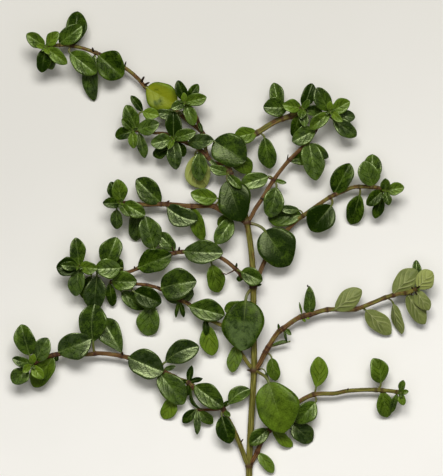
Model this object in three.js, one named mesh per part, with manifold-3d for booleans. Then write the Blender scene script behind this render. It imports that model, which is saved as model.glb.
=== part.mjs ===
// A cut sprig of broad-leaved thyme lying on a table, seen from above.
//
// One woody main stem carries opposite pairs of leafy shoots. Each shoot is one solid: its stem
// with every leaf joined to it. Millimetres, +Z up. The origin is on the table, under the middle
// of the sprig. +Y runs from the cut end to the growing tip.

import * as THREE from "three";
import { mergeVertices } from "three/addons/utils/BufferGeometryUtils.js";
import Module from "manifold-3d";

// Stems: a bar of flat sides with one side down, a little thicker where leaves spring from it.
const MAIN_STEM_SIDES = 6;
const SHOOT_SIDES = 5;
const MAIN_STEM_RADIUS = 0.88;
const SHOOT_RADIUS = 0.46;
const TWIG_RADIUS = 0.4;
const TIP_SHARE = 0.8; // radius at the growing tip, as a share of the radius at the foot
const KNUCKLE_SWELL = 1.4;
const KNUCKLE_MERGE = 2.2; // rings closer together than this share one knuckle

// Blades: a thin sheet folded along its midrib, widest a little below the middle.
const BLADE_THICKNESS = 0.66;
const BLADE_FOLD = 20; // degrees that each half rises from the midrib
const BLADE_ARCH = 0.05; // how far the midrib bows up, as a share of its length
const BLADE_BELLY = 0.84; // below 1 the widest place moves towards the foot
const BLADE_ROUNDNESS = 0.7; // lower is blunter at both ends
const TOUCHING = BLADE_THICKNESS / 2; // height of a blade's tip that rests on the table
const PETIOLE_WIDTH = 0.66;
const TIP_WIDTH = 0.5;
const LARGE_BLADE = 7; // blade length from which the outline gets the most stations
const SMALL_BLADE = 3.6; // blade length below which the outline gets the fewest
const LARGE_STATIONS = [0.13, 0.36, 0.64, 0.88];
const MIDDLE_STATIONS = [0.17, 0.46, 0.8];
const SMALL_STATIONS = [0.3, 0.72];
const SESSILE_REACH = 1.7; // a blade whose foot is closer to its root than this has no petiole

// A shoot is a solid of its own and clears what it springs from by this gap.
const JOINT_GAP = 0.3;
const ROUTE_SAMPLES = 24; // samples on each span of a route when the nearest point is sought

const GREEN = 0x3f5c1c;
const BARK = 0x6b5a30;
const GREEN_OLIVE = 0x66752f;
const LEAF_ROUGHNESS = 0.5;

const UP = new THREE.Vector3(0, 0, 1);

// One leaf: the foot of its blade, its tip and its full width, all in the sprig's frame.
// Options: root, the place on the stem that its petiole springs from, where that isn't the place
// nearest to the foot; fold and roll in degrees; arch, the bow of the midrib.
function leaf(foot, tip, width, options = {}) {
  return { foot, tip, width, ...options };
}

// One leafy stem: its route from the foot to the growing tip, and its leaves.
function shoot(name, form, route, leaves) {
  const usual = { springsFrom: null, radius: SHOOT_RADIUS, sides: SHOOT_SIDES, colour: GREEN };
  return { name, ...usual, ...form, route, leaves };
}

// The main stem lies flat on the table at its cut end and rises to its tip.
const LEVEL_AXIS = MAIN_STEM_RADIUS * Math.cos(Math.PI / MAIN_STEM_SIDES);
const FOLDED_FLAT = 9;

const mainStem = shoot(
  "main_stem",
  { radius: MAIN_STEM_RADIUS, sides: MAIN_STEM_SIDES, colour: BARK },
  [
    [6.3, -64.5, LEVEL_AXIS],
    [6.5, -51.2, LEVEL_AXIS],
    [6.5, -49.5, 0.82],
    [7.0, -38.0, 1.2],
    [7.7, -25.5, 1.9],
    [7.6, -14.0, 2.6],
    [7.5, -4.6, 3.2],
    [7.1, 3.5, 3.8],
    [5.9, 11.5, 4.3],
    [4.4, 17.0, 4.4],
    [2.2, 22.5, 4.4],
    [1.0, 26.5, 4.3],
    [2.0, 29.0, 4.1],
    [4.0, 31.0, 4.0],
    [8.5, 34.1, 4.0],
    [13.5, 37.3, 4.2],
    [17.5, 38.6, 4.6],
    [19.5, 39.5, 5.6],
    [19.8, 39.7, 7.4],
  ],
  [
    // The five large leaves of the main stem's own nodes, from the lowest up.
    leaf([11.7, -28.4, 5.2], [15.6, -40.8, 5.6], 10, { root: [7.7, -25.5], fold: FOLDED_FLAT }),
    leaf([6.2, -8.0, 4.8], [5.0, -20.5, 5.3], 10.3, { root: [7.4, -4.8], fold: FOLDED_FLAT }),
    leaf([5.6, -9.6, 3.4], [0.3, -10.6, 3.0], 3.6, { root: [7.4, -4.8] }),
    leaf([9.9, 9.5, 4.6], [16.4, 1.0, 4.2], 9.6, { root: [6.0, 11.4], fold: FOLDED_FLAT }),
    leaf([1.0, 21.8, 5.5], [4.3, 11.7, 5.8], 8.4, { root: [1.6, 24.4], fold: FOLDED_FLAT }),
    // The small leaves above them, up to where the stem turns right.
    leaf([1.4, 23.2, 6.2], [4.5, 19.9, 6.5], 2.5),
    leaf([0.7, 23.4, 4.8], [-3.4, 25.3, 5.0], 2.6),
    leaf([2.5, 28.3, 3.6], [6.3, 23.6, 2.9], 4.5),
    leaf([8.2, 34.2, 4.7], [2.7, 33.0, 5.0], 4.2),
    leaf([9.8, 32.6, 3.8], [11.2, 24.9, 3.0], 4.3, { root: [8.5, 34.1] }),
    // The right-hand growing tip.
    leaf([13.9, 39.3, 4.4], [12.3, 46.3, 3.4], 3.8),
    leaf([16.0, 40.1, 4.8], [10.3, 40.4, 5.2], 4.6),
    leaf([19.2, 38.2, 4.4], [17.2, 32.8, 3.0], 3.0),
    leaf([20.6, 40.5, 5.2], [22.0, 46.1, 5.0], 3.5),
    leaf([20.3, 38.4, 5.9], [20.3, 35.2, 6.8], 2.4),
    leaf([20.8, 39.6, 5.4], [24.6, 39.0, 4.2], 2.8),
    leaf([18.9, 40.2, 6.5], [14.8, 40.7, 7.2], 3.4),
    leaf([20.2, 40.0, 7.2], [21.4, 42.0, 8.4], 1.7),
    leaf([19.8, 39.4, 7.2], [19.3, 37.2, 8.2], 2.2),
  ],
);

const lowLeft = shoot(
  "shoot_1_left",
  { springsFrom: "main_stem", radius: 0.48 },
  [
    [6.4, -49.6, 0.9],
    [5.6, -47.8, 1.2],
    [4.2, -44.0, 1.8],
    [2.5, -40.0, 2.3],
    [1.1, -37.4, 2.6],
    [-0.1, -35.0, 2.8],
    [-3.5, -32.7, 3.0],
    [-6.8, -30.3, 3.0],
    [-8.2, -28.7, 3.0],
    [-11.0, -27.7, 3.0],
    [-15.0, -25.7, 3.0],
    [-24.0, -22.0, 3.0],
    [-31.0, -20.8, 3.0],
    [-34.0, -21.2, 3.2],
    [-41.3, -21.4, 3.8],
    [-44.8, -22.4, 4.3],
    [-47.2, -23.6, 5.2],
    [-47.8, -24.0, 7.3],
  ],
  [
    leaf([-0.5, -37.1, 3.2], [1.5, -43.9, 3.6], 4.3, { root: [-0.1, -35.2] }),
    leaf([0.7, -33.9, 2.4], [5.9, -30.6, 2.0], 3.9, { root: [-0.1, -35.0], roll: -12 }),
    leaf([-6.6, -28.9, 4.1], [0.0, -34.5, 4.6], 5.4),
    // The little upright shoot between the large pairs.
    leaf([-8.5, -27.9, 3.6], [-7.8, -24.2, 4.2], 1.7),
    leaf([-14.4, -24.4, 3.6], [-6.1, -20.0, 4.2], 5.2),
    leaf([-15.9, -26.9, 3.2], [-9.4, -33.8, 2.8], 5.6),
    leaf([-12.0, -32.6, 1.5], [-14.5, -38.0, TOUCHING], 4, { root: [-12.2, -27.2] }),
    leaf([-23.6, -22.1, 4.1], [-14.8, -25.7, 4.6], 6.2),
    leaf([-25.5, -20.8, 2.4], [-30.5, -13.0, 1.2], 6),
    leaf([-32.4, -18.5, 3.8], [-32.0, -9.1, 3.8], 7),
    leaf([-40.6, -20.8, 4.3], [-32.7, -17.8, 5.2], 5.6, { root: [-41.3, -21.4] }),
    // The far growing tip.
    leaf([-42.7, -22.5, 3.6], [-47.9, -29.6, 1.8], 4.6),
    leaf([-47.0, -22.8, 5.2], [-43.8, -17.6, 5.6], 4.4),
    leaf([-48.8, -25.0, 5.2], [-52.8, -28.7, 4.8], 4.4),
    leaf([-48.5, -21.8, 6.1], [-50.6, -14.1, 6.4], 5),
    leaf([-47.4, -24.8, 6.1], [-44.7, -27.4, 6.6], 2.9),
    leaf([-48.5, -23.8, 6.7], [-52.4, -22.3, 7.4], 2.6),
    leaf([-48.2, -24.0, 7.2], [-49.7, -25.8, 8.4], 1.9),
    leaf([-47.3, -23.4, 7.2], [-47.0, -21.2, 8.4], 1.9),
  ],
);

const lowLeftTwig = shoot(
  "twig_1_left",
  { springsFrom: "shoot_1_left", radius: TWIG_RADIUS },
  [
    [-0.2, -34.9, 2.8],
    [-1.4, -35.2, 2.3],
    [-3.2, -35.3, 2.0],
    [-6.4, -35.3, 1.8],
  ],
  [
    leaf([-7.3, -35.3, 1.8], [-10.1, -38.6, 1.2], 2.6),
    leaf([-6.5, -35.9, 1.9], [-6.5, -41.5, 2.0], 1.8),
    leaf([-6.0, -35.9, 1.6], [-2.7, -38.9, 1.0], 2.8),
  ],
);

const lowRight = shoot(
  "shoot_1_right",
  { springsFrom: "main_stem", radius: 0.5 },
  [
    [6.6, -49.6, 0.9],
    [7.4, -48.0, 1.2],
    [8.5, -46.0, 1.4],
    [9.5, -43.5, 1.7],
    [11.7, -40.3, 2.1],
    [15.0, -37.0, 2.4],
    [18.7, -33.5, 2.6],
    [22.6, -31.5, 2.8],
    [28.0, -31.2, 2.8],
    [31.0, -30.6, 2.8],
    [37.0, -30.3, 2.9],
    [39.3, -30.4, 3.1],
    [42.0, -30.6, 3.6],
    [43.8, -30.9, 4.4],
    [44.2, -31.0, 5.8],
  ],
  [
    leaf([9.4, -46.4, 1.5], [12.5, -51.2, 1.0], 3),
    leaf([10.9, -39.9, 2.8], [6.8, -44.1, 3.0], 3.6),
    leaf([13.2, -40.9, 1.6], [17.4, -44.6, TOUCHING], 2.9, { root: [11.7, -40.3] }),
    leaf([17.4, -38.8, 1.4], [22.3, -43.3, TOUCHING], 4.8, { root: [15.0, -37.0] }),
    leaf([23.0, -33.4, 3.0], [18.3, -38.6, 2.8], 5, { root: [22.6, -31.5] }),
    leaf([23.1, -29.7, 3.2], [23.6, -22.2, 3.8], 4.2, { root: [22.6, -31.5] }),
    leaf([39.3, -28.8, 3.4], [37.5, -22.7, 4.0], 4.5, { root: [38.2, -30.3] }),
    leaf([39.6, -31.5, 2.8], [40.9, -37.8, 0.9], 3.7),
    // The far growing tip.
    leaf([43.3, -31.7, 4.0], [41.9, -36.0, 3.2], 1.7),
    leaf([44.4, -31.6, 4.8], [44.9, -34.1, 5.2], 1.8),
    leaf([44.4, -30.0, 4.8], [44.9, -27.8, 5.2], 1.5),
  ],
);

const secondLeft = shoot(
  "shoot_2_left",
  { springsFrom: "main_stem" },
  [
    [7.6, -25.4, 2.0],
    [6.4, -24.0, 2.2],
    [4.8, -21.3, 2.5],
    [2.8, -17.5, 2.9],
    [0.4, -14.0, 3.1],
    [-2.5, -12.6, 3.1],
    [-5.5, -10.8, 3.1],
    [-8.5, -8.7, 3.2],
    [-12.0, -7.3, 3.2],
    [-15.5, -5.2, 3.2],
    [-19.0, -4.2, 3.0],
    [-25.0, -3.7, 2.6],
    [-28.2, -3.3, 2.4],
  ],
  [
    leaf([3.1, -19.8, 2.5], [2.5, -26.2, 1.6], 3.3),
    leaf([-3.7, -14.4, 2.6], [-2.2, -22.0, 1.4], 4.4, { root: [-2.9, -12.4] }),
    leaf([-8.5, -9.6, 4.3], [0.3, -11.2, 4.3], 5.6, { root: [-8.5, -8.7] }),
    leaf([-15.3, -4.9, 4.2], [-6.7, -3.2, 5.0], 7.4, { root: [-15.5, -5.2] }),
    leaf([-14.9, -6.0, 2.4], [-7.3, -6.4, 1.4], 6, { root: [-15.5, -5.2] }),
    leaf([-22.3, -5.2, 3.6], [-15.5, -7.8, 3.6], 5.4, { root: [-22.4, -3.9] }),
    leaf([-25.3, -5.7, 1.8], [-19.8, -9.7, 1.0], 3.8, { root: [-24.2, -3.8] }),
    leaf([-18.2, -8.8, 2.2], [-19.3, -17.0, TOUCHING], 5.6, { root: [-19.0, -4.2] }),
    leaf([-27.8, -3.3, 3.4], [-21.5, -3.2, 4.0], 5),
    leaf([-28.7, -4.2, 2.2], [-27.6, -9.5, 1.0], 2.6, { root: [-28.0, -3.3] }),
  ],
);

const secondRight = shoot(
  "shoot_2_right",
  { springsFrom: "main_stem", radius: 0.5, colour: GREEN_OLIVE },
  [
    [7.8, -25.4, 2.0],
    [9.0, -24.0, 2.3],
    [10.4, -21.2, 2.6],
    [13.7, -16.0, 2.9],
    [15.0, -15.0, 3.0],
    [18.9, -12.3, 3.2],
    [22.0, -11.3, 3.3],
    [26.0, -9.9, 3.4],
    [32.8, -9.9, 3.4],
    [37.0, -8.7, 3.6],
    [40.4, -7.3, 3.8],
    [43.5, -6.4, 4.2],
    [46.0, -6.0, 4.8],
    [48.3, -5.0, 5.6],
  ],
  [
    leaf([11.8, -22.4, 2.7], [12.8, -28.1, 2.6], 3, { root: [10.6, -20.9] }),
    leaf([16.0, -15.2, 3.2], [17.0, -16.6, 3.6], 1.2, { root: [15.0, -15.0] }),
    leaf([21.2, -10.6, 3.8], [21.3, -4.4, 4.6], 2.9),
    leaf([27.3, -10.0, 4.1], [34.4, -5.2, 4.6], 5, { root: [26.0, -9.9], fold: -14 }),
    leaf([35.5, -11.0, 3.0], [41.8, -17.2, 1.2], 4.8, { root: [33.0, -9.9], fold: -14 }),
    leaf([41.8, -9.1, 3.0], [43.9, -16.7, 1.6], 3.2, { root: [40.4, -7.3], fold: -14, roll: 38 }),
    leaf([42.0, -5.9, 4.6], [48.2, -0.1, 5.4], 5.3, { fold: -14 }),
    // The far growing tip, turned over so that the undersides show.
    leaf([46.2, -7.4, 4.2], [50.3, -14.2, 2.8], 4.4, { root: [45.6, -6.1], fold: -14 }),
    leaf([48.3, -3.0, 4.8], [48.2, 2.1, 4.4], 2.3),
    leaf([48.5, -6.1, 5.2], [51.7, -10.4, 5.0], 3.6, { fold: -14 }),
    leaf([48.7, -4.7, 5.9], [52.3, -0.7, 6.4], 4.2, { fold: -14 }),
  ],
);

const thirdLeft = shoot(
  "shoot_3_left",
  { springsFrom: "main_stem" },
  [
    [7.4, -4.5, 3.2],
    [5.2, -2.4, 3.4],
    [3.2, -0.2, 3.6],
    [-0.5, 2.6, 3.5],
    [-5.0, 4.0, 3.2],
    [-10.2, 4.7, 3.1],
    [-13.0, 4.1, 3.1],
    [-17.5, 1.9, 3.1],
    [-21.7, -0.2, 3.3],
    [-24.3, -1.0, 3.3],
    [-28.0, -0.3, 3.2],
    [-32.0, 0.2, 3.8],
    [-35.0, 0.4, 4.7],
    [-36.0, 0.4, 6.0],
    [-36.1, 0.4, 7.4],
  ],
  [
    leaf([4.6, -0.9, 4.9], [9.8, -3.2, 5.4], 3.8, { root: [3.3, -0.3] }),
    leaf([-2.9, 0.8, 3.0], [-1.2, -6.1, 1.4], 4.2, { root: [-3.0, 3.5] }),
    leaf([-9.6, 4.5, 4.3], [-0.2, 4.0, 5.0], 6.1, { root: [-10.2, 4.7] }),
    leaf([-12.2, 5.4, 3.4], [-16.2, 8.8, 3.0], 3.8),
    leaf([-17.3, 4.9, 4.0], [-19.3, 13.0, 4.4], 5.7, { root: [-13.0, 4.1] }),
    leaf([-21.0, 0.1, 4.3], [-13.1, 3.4, 4.8], 5),
    leaf([-24.6, -0.7, 2.4], [-27.0, 3.2, 1.8], 3.4),
    leaf([-25.5, 0.1, 4.9], [-31.9, -0.1, 5.3], 5),
    leaf([-29.4, 1.4, 3.6], [-26.9, 7.8, 3.2], 5.6),
    leaf([-31.5, -1.9, 3.4], [-32.3, -10.5, 1.6], 5.6, { root: [-31.6, 0.1] }),
    leaf([-33.0, -2.0, 2.2], [-35.0, -7.5, TOUCHING], 3.4, { root: [-33.0, 0.3] }),
    // The far growing tip.
    leaf([-35.9, 1.3, 5.2], [-36.7, 7.7, 5.8], 4.1),
    leaf([-36.2, -0.5, 5.2], [-36.8, -6.9, 5.0], 4.1),
    leaf([-36.4, 0.3, 6.1], [-41.8, 0.3, 6.2], 4.8),
    leaf([-35.4, 0.4, 6.2], [-31.2, 0.0, 7.0], 3.3),
    leaf([-36.4, 0.5, 7.2], [-40.3, 0.9, 8.2], 2.4),
  ],
);

const thirdRight = shoot(
  "shoot_3_right",
  { springsFrom: "main_stem", radius: 0.52 },
  [
    [7.6, -4.4, 3.2],
    [8.7, -2.4, 3.0],
    [9.4, -0.4, 2.7],
    [10.4, 1.8, 2.4],
    [12.5, 5.0, 2.3],
    [15.5, 9.0, 2.4],
    [18.0, 11.6, 2.7],
    [20.4, 13.8, 3.0],
    [26.5, 18.0, 3.3],
    [30.0, 19.5, 3.4],
    [32.3, 20.4, 3.4],
    [35.0, 20.6, 3.8],
    [38.4, 20.1, 4.6],
    [40.1, 19.4, 5.6],
    [40.3, 19.3, 7.2],
  ],
  [
    leaf([19.4, 13.7, 2.8], [11.2, 12.5, 1.4], 3.8),
    leaf([18.9, 14.5, 3.2], [13.9, 15.0, 3.0], 2.2),
    leaf([26.9, 15.8, 3.2], [21.9, 9.8, 2.8], 6.4, { root: [26.5, 18.0] }),
    leaf([27.3, 19.2, 3.6], [31.2, 26.4, 4.0], 5.2),
    leaf([33.8, 18.3, 3.0], [31.7, 11.0, TOUCHING], 4.4),
    leaf([37.0, 21.0, 3.8], [37.6, 28.6, 2.6], 5),
    leaf([37.3, 20.9, 4.9], [35.0, 26.7, 5.8], 5.2),
    // The far growing tip.
    leaf([39.6, 17.6, 4.4], [37.9, 12.5, 3.0], 2.8, { root: [38.6, 19.9] }),
    leaf([39.6, 19.0, 5.4], [36.0, 16.0, 5.6], 3),
    leaf([41.0, 19.6, 5.5], [45.0, 20.5, 5.8], 2.7),
    leaf([40.3, 19.8, 6.7], [40.3, 22.4, 7.6], 2.5),
    leaf([40.5, 18.8, 6.6], [41.2, 15.7, 7.2], 2.2),
  ],
);

const fourthLeft = shoot(
  "shoot_4_left",
  { springsFrom: "main_stem" },
  [
    [5.8, 11.6, 4.3],
    [4.2, 12.2, 3.9],
    [2.4, 12.9, 3.6],
    [-0.7, 14.5, 3.4],
    [-2.4, 15.5, 3.3],
    [-7.5, 15.7, 3.3],
    [-14.0, 16.2, 3.6],
    [-20.0, 16.1, 4.2],
    [-23.8, 16.2, 4.8],
    [-25.3, 16.2, 5.8],
    [-25.5, 16.2, 7.4],
  ],
  [
    leaf([1.9, 12.7, 2.8], [-1.4, 10.8, 2.2], 3, { root: [2.4, 12.9] }),
    leaf([2.2, 11.4, 4.2], [-1.9, 6.1, 4.6], 4, { root: [2.4, 12.9] }),
    leaf([-1.7, 17.4, 3.9], [-8.1, 18.8, 4.4], 3.9, { root: [-2.2, 15.4] }),
    leaf([-7.3, 15.1, 2.6], [-4.6, 7.0, 0.9], 3.6),
    leaf([-14.0, 15.2, 3.8], [-6.4, 12.5, 4.2], 5.3),
    leaf([-15.4, 16.9, 4.0], [-21.3, 22.3, 3.8], 5.6),
    leaf([-21.5, 15.2, 3.2], [-21.8, 6.8, TOUCHING], 4.2),
    // The far growing tip.
    leaf([-26.6, 17.0, 4.8], [-28.2, 21.6, 4.6], 3, { root: [-23.5, 16.2] }),
    leaf([-26.4, 14.8, 5.0], [-26.4, 10.0, 4.2], 2.6, { root: [-24.4, 16.2] }),
    leaf([-25.5, 16.9, 5.4], [-26.2, 22.2, 6.2], 4),
    leaf([-24.5, 16.3, 5.8], [-19.4, 13.2, 6.2], 4),
    leaf([-26.0, 16.2, 6.3], [-29.9, 16.3, 7.0], 2.8),
    leaf([-25.3, 15.8, 7.1], [-23.2, 13.0, 8.0], 2.4),
  ],
);

const fourthRight = shoot(
  "shoot_4_right",
  { springsFrom: "main_stem" },
  [
    [6.0, 11.5, 4.3],
    [7.0, 12.9, 4.3],
    [8.0, 14.8, 4.2],
    [9.6, 17.6, 4.0],
    [12.2, 22.0, 3.9],
    [16.0, 27.0, 3.9],
    [19.5, 30.5, 3.9],
    [21.0, 32.0, 4.0],
    [24.0, 36.0, 4.4],
    [25.9, 38.2, 5.2],
    [26.5, 38.9, 6.1],
    [26.6, 39.0, 7.4],
  ],
  [
    leaf([11.2, 22.4, 4.4], [4.3, 20.2, 4.6], 4.6),
    leaf([13.2, 21.7, 4.0], [15.8, 21.3, 4.4], 1.2),
    leaf([13.3, 20.2, 4.1], [11.6, 12.7, 3.8], 4.7, { root: [12.2, 22.0] }),
    leaf([16.5, 26.9, 3.6], [21.5, 28.0, 2.4], 3.4),
    leaf([21.5, 30.6, 4.6], [22.7, 21.9, 4.4], 5.4),
    leaf([21.4, 31.2, 3.2], [26.3, 28.2, 2.6], 3),
    leaf([22.8, 34.6, 5.0], [17.3, 31.9, 4.9], 4.2),
    // The far growing tip.
    leaf([27.6, 38.2, 4.8], [32.6, 37.6, 4.2], 3, { root: [25.4, 37.8] }),
    leaf([27.3, 37.2, 5.2], [32.8, 33.2, 4.4], 3.6),
    leaf([26.1, 39.5, 5.8], [23.3, 45.0, 6.8], 4.3),
    leaf([27.2, 39.3, 6.5], [31.3, 41.8, 6.6], 3.7),
    leaf([26.1, 38.4, 6.4], [21.6, 34.7, 6.6], 3.4),
    leaf([26.6, 39.3, 6.9], [26.6, 41.6, 8.2], 1.8),
    leaf([27.0, 38.7, 6.9], [29.6, 36.4, 8.2], 1.9),
  ],
);

const topLeft = shoot(
  "shoot_5_left",
  { springsFrom: "main_stem" },
  [
    [1.2, 26.2, 4.3],
    [-0.6, 26.1, 4.2],
    [-2.6, 26.4, 4.1],
    [-3.8, 27.7, 4.1],
    [-5.6, 29.5, 4.1],
    [-8.5, 31.0, 4.3],
    [-11.0, 31.9, 4.7],
    [-12.3, 32.2, 5.6],
    [-12.5, 32.2, 7.3],
  ],
  [
    leaf([-6.6, 28.2, 2.4], [-4.5, 19.7, TOUCHING], 5.8, { root: [-5.6, 29.5] }),
    leaf([-6.4, 28.2, 3.8], [-5.7, 21.7, 3.2], 4, { root: [-5.6, 29.5] }),
    leaf([-2.4, 31.4, 5.2], [5.6, 26.6, 5.7], 8, { root: [-4.6, 28.6], fold: FOLDED_FLAT }),
    leaf([-8.5, 31.7, 5.3], [-2.3, 31.9, 6.8], 3.8),
    // The far growing tip.
    leaf([-12.2, 31.0, 4.4], [-9.7, 27.9, 3.6], 2.6, { root: [-10.8, 31.9] }),
    leaf([-13.3, 30.2, 4.4], [-17.3, 28.5, 3.2], 2.8, { root: [-11.2, 32.0] }),
    leaf([-12.4, 33.0, 5.4], [-12.4, 39.1, 5.6], 4.2),
    leaf([-12.5, 31.5, 5.4], [-11.8, 24.7, 5.8], 3.3),
    leaf([-11.9, 32.4, 6.4], [-6.8, 34.0, 7.2], 3.2),
    leaf([-13.2, 32.1, 6.3], [-18.0, 31.0, 6.8], 3.8),
    leaf([-12.7, 31.9, 7.1], [-13.6, 29.6, 8.2], 1.5),
  ],
);

const farLeftTwig = shoot(
  "twig_5_left_far",
  { springsFrom: "shoot_5_left", radius: 0.42 },
  [
    [-8.4, 31.0, 4.2],
    [-9.6, 31.9, 3.2],
    [-11.5, 32.9, 2.7],
    [-14.5, 33.7, 2.8],
    [-17.5, 33.8, 3.1],
    [-19.8, 34.2, 3.9],
    [-21.6, 34.3, 4.6],
    [-22.3, 34.3, 5.6],
    [-22.4, 34.3, 7.1],
  ],
  [
    leaf([-20.1, 39.2, 3.6], [-23.0, 43.1, 3.8], 1.8, { root: [-18.4, 33.9] }),
    leaf([-20.0, 38.9, 5.4], [-16.0, 38.1, 5.8], 2.2, { root: [-20.6, 34.2] }),
    leaf([-21.6, 35.6, 4.6], [-24.3, 40.6, 5.0], 3.4),
    leaf([-20.8, 33.0, 3.8], [-19.3, 27.6, 3.8], 2.4),
    leaf([-20.9, 34.8, 5.4], [-16.0, 36.0, 6.3], 3.6),
    leaf([-23.2, 33.8, 5.4], [-27.0, 33.0, 4.8], 3.2),
    leaf([-23.0, 34.9, 6.2], [-25.2, 37.2, 6.2], 2),
    leaf([-22.4, 33.8, 6.8], [-21.8, 30.0, 7.4], 2.2),
  ],
);

const upperLeftTwig = shoot(
  "twig_5_left_up",
  { springsFrom: "shoot_5_left" },
  [
    [-3.9, 27.8, 4.1],
    [-4.3, 29.6, 3.7],
    [-4.6, 31.5, 3.5],
    [-4.8, 33.5, 3.7],
    [-5.6, 35.4, 4.2],
    [-6.4, 37.4, 4.7],
    [-8.2, 40.0, 5.0],
    [-9.4, 41.2, 5.9],
    [-9.5, 41.3, 7.4],
  ],
  [
    leaf([-11.6, 38.9, 3.9], [-15.4, 38.3, 3.6], 1.7, { root: [-7.8, 39.6] }),
    leaf([-8.8, 42.2, 4.9], [-6.1, 45.9, 4.6], 2),
    leaf([-9.6, 42.0, 5.7], [-11.6, 46.8, 6.2], 2.7),
    leaf([-9.3, 40.6, 5.8], [-7.2, 35.6, 6.0], 3.2),
    leaf([-9.0, 41.4, 6.5], [-4.3, 42.8, 6.8], 3),
    leaf([-9.8, 41.0, 6.7], [-12.9, 39.7, 7.4], 2.5),
    leaf([-9.5, 41.7, 7.2], [-9.8, 43.7, 8.3], 1.6),
  ],
);

const topLeftTwig = shoot(
  "twig_5_left_top",
  { springsFrom: "twig_5_left_up", radius: 0.48 },
  [
    [-4.8, 33.4, 3.7],
    [-6.2, 34.8, 2.9],
    [-9.0, 37.0, 2.3],
    [-13.0, 40.4, 2.0],
    [-19.2, 45.4, 2.3],
    [-21.0, 47.3, 2.6],
    [-24.2, 50.0, 3.0],
    [-31.8, 53.8, 3.2],
    [-37.0, 55.4, 3.6],
    [-40.0, 55.7, 4.0],
    [-42.6, 55.5, 4.6],
    [-44.1, 55.1, 5.6],
    [-44.2, 55.0, 7.4],
  ],
  [
    leaf([-18.6, 44.9, 3.4], [-12.3, 41.2, 3.4], 6.4, { root: [-19.2, 45.4], fold: FOLDED_FLAT }),
    leaf([-31.0, 53.2, 3.8], [-24.7, 48.2, 3.8], 6.3),
    leaf([-32.3, 52.4, 2.6], [-32.3, 41.9, TOUCHING], 4, { root: [-31.8, 53.8] }),
    leaf([-37.6, 54.5, 4.0], [-31.4, 49.6, 4.6], 4.6),
    // The far growing tip.
    leaf([-37.0, 56.3, 3.2], [-36.0, 64.2, 1.6], 4.8),
    leaf([-40.6, 56.4, 4.6], [-35.1, 60.4, 5.0], 4.2),
    leaf([-44.6, 54.4, 5.4], [-45.4, 48.9, 5.2], 2.7),
    leaf([-43.8, 55.8, 5.5], [-41.0, 58.9, 6.0], 2.8),
    leaf([-44.8, 55.5, 6.4], [-49.0, 58.0, 6.8], 2.9),
    leaf([-43.6, 54.5, 6.3], [-38.8, 50.9, 6.6], 3),
    leaf([-44.5, 55.1, 7.2], [-46.4, 55.3, 8.3], 1.5),
    leaf([-43.9, 54.7, 7.2], [-43.2, 53.2, 8.3], 1.5),
  ],
);

const shoots = [
  mainStem,
  lowLeft,
  lowLeftTwig,
  lowRight,
  secondLeft,
  secondRight,
  thirdLeft,
  thirdRight,
  fourthLeft,
  fourthRight,
  topLeft,
  farLeftTwig,
  upperLeftTwig,
  topLeftTwig,
];

const wasm = await Module();
wasm.setup();

// A closed triangle mesh as a solid.
function solid(positions, triangles) {
  const raw = new THREE.BufferGeometry();
  raw.setAttribute("position", new THREE.BufferAttribute(new Float32Array(positions), 3));
  raw.setIndex(triangles);
  const merged = mergeVertices(raw);
  return new wasm.Manifold(
    new wasm.Mesh({
      numProp: 3,
      vertProperties: merged.attributes.position.array,
      triVerts: new Uint32Array(merged.index.array),
    }),
  );
}

// A solid as a geometry for a mesh.
function geometryOf(body) {
  const mesh = body.getMesh();
  const geometry = new THREE.BufferGeometry();
  geometry.setAttribute("position", new THREE.BufferAttribute(mesh.vertProperties, 3));
  geometry.setIndex(new THREE.BufferAttribute(mesh.triVerts, 1));
  geometry.computeVertexNormals();
  return geometry;
}

// The smooth line through a shoot's route.
function routeOf({ route }) {
  const points = route.map((place) => new THREE.Vector3(...place));
  return new THREE.CatmullRomCurve3(points, false, "centripetal");
}

// Where on a route, from 0 to 1, a leaf springs: nearest to its root in plan, or to its foot.
function springOf({ foot, root }, curve) {
  const samples = (curve.points.length - 1) * ROUTE_SAMPLES;
  const sought = new THREE.Vector3(...(root ?? foot));
  let best = { t: 0, distance: Infinity };
  for (let i = 0; i <= samples; i += 1) {
    const t = i / samples;
    const point = curve.getPoint(t);
    if (root) sought.z = point.z;
    const distance = point.distanceTo(sought);
    if (distance < best.distance) best = { t, distance };
  }
  return best.t;
}

// The rings of a stem: one at each point of its route, and a thicker one at each knuckle, which
// takes the place of the route's rings beside it.
function ringsOf(curve, springs) {
  const spans = curve.points.length - 1;
  const apart = (a, b) => curve.getPoint(a).distanceTo(curve.getPoint(b));
  const ends = [0, 1].map((t) => ({ t, swell: 1 }));
  const rings = [...ends];
  const add = (t, swell) => {
    if (rings.every((ring) => apart(ring.t, t) > KNUCKLE_MERGE)) rings.push({ t, swell });
  };
  springs.forEach((t) => add(t, KNUCKLE_SWELL));
  for (let i = 1; i < spans; i += 1) add(i / spans, 1);
  return rings.sort((a, b) => a.t - b.t);
}

// The place on the straight axis between two rings of a stem that answers to t on its route.
function axisPointAt(curve, rings, t) {
  const next = Math.max(1, rings.findIndex((ring) => ring.t >= t));
  const [from, to] = [rings[next - 1].t, rings[next].t];
  return curve.getPoint(from).lerp(curve.getPoint(to), (t - from) / (to - from));
}

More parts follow.
